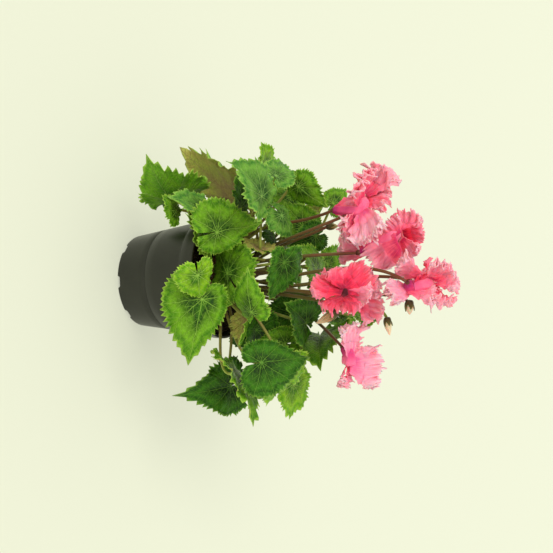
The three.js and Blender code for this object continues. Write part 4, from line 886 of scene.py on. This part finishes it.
# heart is the throat's line of points, each with its radius, the last one in the calyx. mouth
# narrows a throat that opens to the viewer, whose crimson skin is darkened inside with painted
# shade. tones gives each petal's colour:
# p pale, m middle, d deep. A petal has the usual width and bends unless its line says otherwise;
# at is its root, aim the compass angle and rise of its length and the turn about it, len its
# length, wide the half width against that, curl and cup the bend along and across.
USUAL_PETAL = dict(wide=0.6, curl=20, cup=10)
BLOOMS = [
    dict(name="bloom_top", tones="mmmmdmppd",
         heart=[[10, 5, 226, 5], [13, -2, 212, 5], [9, -9, 213, 2]],
         petals=[
             dict(at=(10, 6, 228), aim=(50, 75, -160), len=15, wide=0.62, cup=0),
             dict(at=(8, 4, 226), aim=(-125, 40, 85), len=18, wide=0.53, curl=15, cup=30),
             dict(at=(13, 6, 225), aim=(-20, 30, 150), len=18, wide=0.61, cup=5),
             dict(at=(14, -6, 212), aim=(60, 65, -150), len=19, wide=0.62),
             dict(at=(13, -2, 215), aim=(155, 55, 15), len=15, wide=0.61, curl=25),
             dict(at=(6, -4, 221), aim=(-155, -55, -70), len=18, wide=0.62, curl=15, cup=5),
             dict(at=(14, -2, 212), aim=(-90, -25, -30), len=19, wide=0.52, curl=15, cup=15),
             dict(at=(11, 6, 223), aim=(50, 5, 170), len=15, curl=-20),
             dict(at=(9, 6, 223), aim=(125, 0, 190), len=16, curl=-20),
         ]),
    dict(name="bloom_upper_left", tones="mdmmmmdd",
         heart=[[-24, 7, 204, 4.5], [-15, 8, 184, 4.5], [-12, -4, 177, 2]],
         petals=[
             dict(at=(-26, 8, 205), aim=(125, 15, -95), len=17, wide=0.59, cup=5),
             dict(at=(-24, 8, 206), aim=(-35, 75, -160), len=15, wide=0.55),
             dict(at=(-20, 8, 205), aim=(-5, 30, -120), len=15, wide=0.61),
             dict(at=(-23, 4, 204), aim=(140, -35, -75), len=15, wide=0.53),
             dict(at=(-18, 2, 204), aim=(10, -70, 80), len=25, wide=0.9, curl=-5, cup=70),
             dict(at=(-14, 12, 182), aim=(-80, -55, 50), len=24, wide=0.61, curl=15, cup=5),
             dict(at=(-20, 10, 202), aim=(60, -10, 170), len=16, curl=-20),
             dict(at=(-25, 9, 201), aim=(120, -5, 190), len=15, curl=-20),
         ]),
    dict(name="bloom_left", tones="mmpmmmmm",
         heart=[[-50, 5, 180, 4.5], [-39, -2, 181, 4.5], [-42, -2, 164, 3], [-42, -4, 160, 2]],
         petals=[
             dict(at=(-52, 6, 181), aim=(155, 40, -75), len=24, wide=0.62),
             dict(at=(-48, 8, 179), aim=(-120, 70, -175), len=20, cup=5),
             dict(at=(-40, -4, 182), aim=(-40, 20, -105), len=26, wide=0.55, curl=15, cup=30),
             dict(at=(-46, 0, 180), aim=(-140, 10, -170), len=25, wide=0.63, curl=15, cup=0),
             dict(at=(-42, -2, 161), aim=(120, 70, 65), len=20, wide=0.62, cup=5),
             dict(at=(-38, 0, 176), aim=(-45, -20, 15), len=18, wide=0.63, cup=25),
             dict(at=(-44, 6, 178), aim=(75, 0, 175), len=18, curl=-20),
             dict(at=(-38, 2, 177), aim=(40, -10, 170), len=16, curl=-20),
         ]),
    dict(name="bloom_front", tones="dmddddd", mouth=0.6,
         heart=[[12, -32, 179, 5.5], [14, -31, 175, 5.5]],
         petals=[
             dict(at=(12, -32, 178), aim=(115, 20, -145), len=25, wide=0.53, curl=15, cup=35),
             dict(at=(14, -28, 177), aim=(75, 45, 110), len=17, wide=0.62),
             dict(at=(16, -32, 179), aim=(55, 0, 85), len=15, wide=0.5, cup=40),
             dict(at=(11, -34, 178), aim=(165, -35, -155), len=15, wide=0.64, cup=25),
             dict(at=(13, -36, 178), aim=(-140, -65, -5), len=20, wide=0.62, cup=5),
             dict(at=(16, -32, 177), aim=(50, -60, 115), len=17, wide=0.61),
             dict(at=(13, -28, 176), aim=(110, -20, 180), len=12, curl=-20),
         ]),
    dict(name="bloom_small", tones="mmmm", heart=[[22, -2, 176, 4], [20, -2, 175, 4]],
         petals=[
             dict(at=(22, -3, 175), aim=(-15, 80, -140), len=19, wide=0.61, cup=5),
             dict(at=(19, -1, 175), aim=(165, 50, 135), len=19, wide=0.62, curl=15),
             dict(at=(21, 0, 175), aim=(75, 55, 180), len=15, curl=-20),
             dict(at=(23, -1, 175), aim=(30, 45, 170), len=15, curl=-20),
         ]),
    dict(name="bloom_right", tones="ppmmmm",
         heart=[[64, -4, 167, 4.5], [56, -7, 169, 4.5], [51, -8, 164.5, 2]],
         petals=[
             dict(at=(64, -4, 168), aim=(80, 25, -180), len=29, wide=0.58, curl=15, cup=35),
             dict(at=(58, -8, 170), aim=(-180, 5, 5), len=23, wide=0.62, curl=15, cup=0),
             dict(at=(60, -3, 166), aim=(95, 30, 10), len=16, wide=0.46),
             dict(at=(62, -2, 166), aim=(40, 0, 180), len=18, curl=-20),
             dict(at=(58, -4, 168), aim=(130, 10, 180), len=16, curl=-20),
             dict(at=(64, -5, 166), aim=(-30, -20, 30), len=16, wide=0.55, curl=-20, cup=15),
         ]),
]


def petal(row, u, lift=0.0, shift=0.0):
    """A petal before it is placed: u runs from its root (0) to its fringed end (1), v from side
    to side (-1 to 1). It widens as a sine. Its edge is cut into a fringe and crimped by trains of
    waves that grow with u, its middle is creased and crumpled, and it is bent along by curl and
    across by cup. lift raises a second frill off it, crimped more, and shift moves its waves."""
    phase = row["at"][0] + row["at"][2] + shift
    length = row["len"]
    u = u[:, None]
    v = np.linspace(-1, 1, PETAL_COLUMNS)[None, :]
    fringe = abs(np.sin(12 * v + phase)) * 0.08 + np.sin(27 * v + 2 * phase) ** 2 * 0.09
    flat_x = length * u * (1 - 0.16 * v * v * u) * (1.05 - fringe * u**6)
    spread = 0.32 + 0.68 * np.sin(math.pi / 2 * np.minimum(u / 0.85, 1))
    nick = 1 - 0.12 * abs(np.sin(17 * u + phase)) * abs(v) ** 6
    flat_y = length * row["wide"] * v * spread * nick
    ruffle = 0.05 * length * u**2 * np.sin(7 * v + row["at"][0] + row["at"][2])
    ruffle = ruffle + 0.11 * length * u**3 * np.sin(12 * v + 2 * phase + 5 * u)
    ruffle = ruffle + 0.07 * length * u**4 * np.sin(27 * v + 5 * phase + 12 * u + 3 * np.sin(5 * v))
    ruffle = ruffle * (1 + 2 * abs(lift))
    ruffle = ruffle + 0.1 * length * u * abs(v) ** 3 * np.sin(15 * u + phase + 3 * v)
    crease = 0.02 * length * np.sin(math.pi * u) * np.cos(5 * v) + lift * length * u * (u - u[0])
    crumple = 0.07 * length * u * np.sin(8 * v + 6 * u + 3 * phase) * np.cos(9 * u - 4 * v)
    y, drop = arc(flat_y, 0, -row["cup"], 0.6 * length)
    x, z = arc(flat_x, ruffle + crease + crumple + drop, row["curl"], length)
    flat = np.stack(np.broadcast_arrays(u * UV_LENGTH, v * UV_HALF), 2)
    return np.stack([x, y, z], 2), flat


def sheet_shell(sheet, thickness):
    """Points and faces of a grid given a thickness and closed at its four edges."""
    rows, columns = sheet.shape[:2]
    normals = face_out(sheet)
    points = np.concatenate([(sheet + s * thickness / 2 * normals).reshape(-1, 3) for s in (1, -1)])
    quads = ring_faces(rows, columns, closed=False)[:, [0, 3, 2, 1]]
    index = np.arange(rows * columns).reshape(rows, columns)
    rim = np.concatenate([index[:-1, 0], index[-1, :-1], index[:0:-1, -1], index[0, :0:-1]])
    half = rows * columns
    return points, [quads, quads[:, ::-1] + half, shell(half, rim)]


def petal_tissue(name, root, middle, light, edge):
    """Petal skin, translucent and velvety: the colour runs from the root to the fringed edge,
    clouded by patches about 6 mm wide and broken by streaks 0.8 of a uv unit wide, about 1 mm,
    that fan along the petal."""
    material, tree, shader = new_material(
        name, Roughness=0.5, IOR=1.38, Specular_IOR_Level=0.2, Sheen_Weight=0.1,
        Sheen_Roughness=0.5, Subsurface_Weight=0.4, Subsurface_Scale=3 * MM)
    flat = add(tree, "UVMap", uv_map="uv").outputs["UV"]
    place = add(tree, "TexCoord").outputs["Object"]
    split = add(tree, "SeparateXYZ", [flat])
    reach = add(tree, "Math", [split.outputs[0], 1 / UV_LENGTH], operation="MULTIPLY")
    across = add(tree, "Math", [split.outputs[1]], operation="ABSOLUTE")
    rim = add(tree, "MapRange", [across, 0.65 * UV_HALF, UV_HALF, 0.0, 0.22])
    stretched = add(tree, "VectorMath", [flat, (0.06, 1.25, 1.0)], operation="MULTIPLY")
    streak = add(tree, "TexNoise", {"Vector": stretched, "Scale": 1.0, "Detail": 4.0})
    streak_shift = add(tree, "MapRange", [streak, 0.3, 0.7, -0.1, 0.1])
    cloud = add(tree, "TexNoise", {"Vector": place, "Scale": scale_of(6.25), "Detail": 3.0})
    cloud_shift = add(tree, "MapRange", [cloud, 0.3, 0.7, -0.14, 0.14])
    total = add(tree, "Math", [reach, rim], operation="ADD")
    total = add(tree, "Math", [total, streak_shift], operation="ADD")
    total = add(tree, "Math", [total, cloud_shift], operation="ADD")
    shade = add(tree, "ValToRGB", [total], stops=[
        (0.06, root), (0.32, middle), (0.66, light), (1.0, edge)])
    relief = add(tree, "Bump", {"Height": streak, "Strength": 0.45, "Distance": 0.5 * MM})
    feed(tree, shader, Base_Color=shade, Normal=relief)
    return material


# Petal skins in three depths of pink, the throat's skin, and the green and red of the calyx.
petal_pale = petal_tissue("petal_pale_pink", "#E85A8E", "#FC8AA8", "#FFA0B6", "#FFBECC")
petal_mid = petal_tissue("petal_rose", "#D03266", "#FC6484", "#FF869E", "#FFAEBE")
petal_deep = petal_tissue("petal_crimson", "#9C0E36", "#E62C50", "#FE4E6E", "#FF869C")
throat_skin = petal_tissue("throat_magenta", "#A02468", "#D4427C", "#EE6290", "#FA84A6")
# The mouth skin runs from crimson to near black at the opening: painted shade inside a throat that
# opens to the viewer.
mouth_painted_shade_skin = petal_tissue("throat_crimson_painted_shade", "#8A1030", "#6E0A22", "#560618", "#400412")
calyx_skin = stem_tissue("calyx", "#4A3418", "#545024", "#666A2A")
calyx_red = stem_tissue("calyx_reddened", "#5A2E1C", "#7C3C2A", "#94483A")
sepal_along = np.tile(np.repeat(np.linspace(0, 1, SEPAL_ROWS), SEPAL_COLUMNS), 2 * SEPALS)


def calyx(centre, direction, size):
    """Pointed sepals round the end of a stalk, bent up along the direction given: each bulges
    outwards by half a sine, and narrows as a sine to its point."""
    head = math.degrees(math.atan2(direction[1], direction[0]))
    pitch = math.degrees(math.asin(direction[2]))
    stand = turned(head, pitch)
    u = np.linspace(0, 1, SEPAL_ROWS)[:, None]
    v = np.linspace(-1, 1, SEPAL_COLUMNS)[None, :]
    breadth = 0.62 * size * v * np.sin(math.pi * (0.28 + 0.68 * u)) * (1 - 0.35 * u)
    clear = size * (0.32 + 0.5 * np.sin(math.pi * 0.6 * u)) - 0.1 * size * v * v
    rise = np.broadcast_to(size * (1.7 * u - 0.35), clear.shape)
    parts = []
    for i in range(SEPALS):
        around = 2 * math.pi * i / SEPALS
        outward = stand[:, 1] * math.cos(around) + stand[:, 2] * math.sin(around)
        third = np.cross(direction, outward)
        sheet = centre + clear[..., None] * outward + breadth[..., None] * third
        sheet = sheet + rise[..., None] * direction
        parts.append(sheet_shell(sheet[:, ::-1], SEPAL_THICKNESS))
    return parts


def smooth_line(points, steps):
    """A line through points (n, k), eased so that it bends without corners: each coordinate is
    interpolated, then averaged with its neighbours a few times."""
    points = np.asarray(points, float)
    place = np.linspace(0, len(points) - 1, steps)
    line = np.stack([np.interp(place, range(len(points)), c) for c in points.T], 1)
    for _ in range(steps // 4):
        line[1:-1] = (line[:-2] + 2 * line[1:-1] + line[2:]) / 4
    return line


t = np.linspace(0, 1, THROAT_STEPS)
rounding = np.sqrt(np.clip(np.minimum(t / 0.12, (1 - t) / 0.06), 0.15, 1))
rib_turn = np.arange(THROAT_SIDES) * 2 * math.pi / THROAT_SIDES
ribs = 1 + 0.09 * np.cos(THROAT_RIBS * rib_turn)[None, :, None]
for bloom in BLOOMS:
    parts = []
    slots = []
    spread = []
    middle = np.mean([line[:3] for line in bloom["heart"]], 0)
    for row, tone in zip(bloom["petals"], bloom["tones"]):
        row = USUAL_PETAL | row
        axes = turned(*row["aim"])
        belly = np.array(row["at"]) + axes[:, 0] * row["len"] * 0.5
        outside = 1 if (belly - middle) @ axes[:, 2] > 0 else -1
        for u, lift, shift in [
            (np.linspace(0, 1, PETAL_ROWS), 0, 0),
            (np.linspace(CREST_START, CREST_END, CREST_ROWS), CREST_LIFT * outside, CREST_SHIFT),
        ]:
            sheet, flat = petal(row, u, lift, shift)
            points, faces = sheet_shell(sheet @ axes.T + row["at"], PETAL_THICKNESS)
            parts.append((points, faces))
            slots.append(np.full(sum(len(f) for f in faces), "pmd".index(tone)))
            spread.append(np.tile(flat.reshape(-1, 2), (2, 1)))
    petals = new_piece(bloom["name"] + "_petals", *merged(parts),
                       [petal_pale, petal_mid, petal_deep], np.concatenate(slots),
                       uv=np.concatenate(spread))
    line = smooth_line(bloom["heart"], THROAT_STEPS)
    mouth = bloom.get("mouth", 1)
    rings = tube(line[:, :3], mouth * line[:, 3] * rounding, THROAT_SIDES)
    middle = line[:, None, :3]
    along = per_point(t[::-1], THROAT_SIDES)
    throat = new_piece(bloom["name"] + "_throat", *capped(middle + (rings - middle) * ribs),
                       mouth_painted_shade_skin if mouth < 1 else throat_skin,
                       uv=np.stack([along * UV_LENGTH, np.zeros(len(along))], 1))
    foot = line[-1, :3]
    direction = unit(line[-5, :3] - foot)
    cup = new_piece(bloom["name"] + "_calyx", *merged(calyx(foot, direction, BLOOM_CALYX)),
                    calyx_red, along=sepal_along)
    for piece in (petals, throat, cup):
        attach(piece, "root")
        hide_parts(bloom["name"])


# Buds. Furled petals twisted to a point, cream or green, in a dark calyx. The withered bloom is
# the same form gone dry: creased, papery and hanging.
BUD_COLUMNS = 60
BUD_ROWS = 34
BUD_FURLS = 5
BUD_CALYX = 1.3
# Young petals: cream once they colour, green before. Dry petals are brown as old paper.
bud_cream = petal_tissue("bud_cream", "#B8A868", "#DCCF9C", "#F0E4C0", "#EED6B8")
bud_green = petal_tissue("bud_green", "#7C8244", "#98A058", "#AEB470", "#C4BE88")
withered_skin = petal_tissue("withered_paper", "#7A5638", "#A98560", "#C6A884", "#D9C2A0")
BUDS = [
    dict(name="bud_top", at=(23, 16, 205.6), aim=(-20, 5), len=9, radius=3.2, skin=bud_cream),
    dict(name="bud_right", at=(34, 18, 188.4), aim=(-10, 10), len=12, radius=2.8, skin=bud_cream),
    dict(name="bloom_withered", at=(26.6, -18.6, 166.6), aim=(-20, -55), len=17, radius=3,
         skin=withered_skin),
    dict(name="bud_low", at=(-32, 8.6, 150.6), aim=(90, 60), len=8, radius=2.4, skin=bud_green),
]
t = np.linspace(0.02, 0.995, BUD_ROWS)
a = np.arange(BUD_COLUMNS) * 2 * math.pi / BUD_COLUMNS
belly = (np.sin(math.pi * t**0.72) ** 0.75 * (1 - 0.25 * t))[:, None]
along = per_point(t, BUD_COLUMNS)
streaks = np.concatenate([np.tile(np.sin(2.5 * a) * 6, BUD_ROWS), [0, 0]])
for bud in BUDS:
    withered = bud["skin"] is withered_skin
    furl = 0.11 * np.cos(BUD_FURLS * (a + 1.3 * t[:, None]))
    if withered:
        furl = 0.2 * np.cos(7 * a + 3 * t[:, None]) + 0.1 * np.sin(13 * a + 9 * t[:, None])
    radius = bud["radius"] * belly * (1 + furl)
    sag = 0.12 * bud["len"] * t**2 if withered else 0 * t
    rings = np.stack([
        np.broadcast_to(bud["len"] * t[:, None], radius.shape),
        radius * np.cos(a), radius * np.sin(a) - sag[:, None]], 2)
    axes = turned(*bud["aim"])
    head = new_piece(bud["name"] + "_petals", *capped(rings @ axes.T + bud["at"]), bud["skin"],
                     uv=np.stack([along * UV_LENGTH, streaks], 1))
    foot = np.array(bud["at"]) + 0.05 * bud["len"] * axes[:, 0]
    cup = new_piece(bud["name"] + "_calyx",
                    *merged(calyx(foot, axes[:, 0], BUD_CALYX * bud["radius"])),
                    calyx_skin, along=sepal_along)
    for piece in (head, cup):
        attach(piece, "root")
        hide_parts(bud["name"])
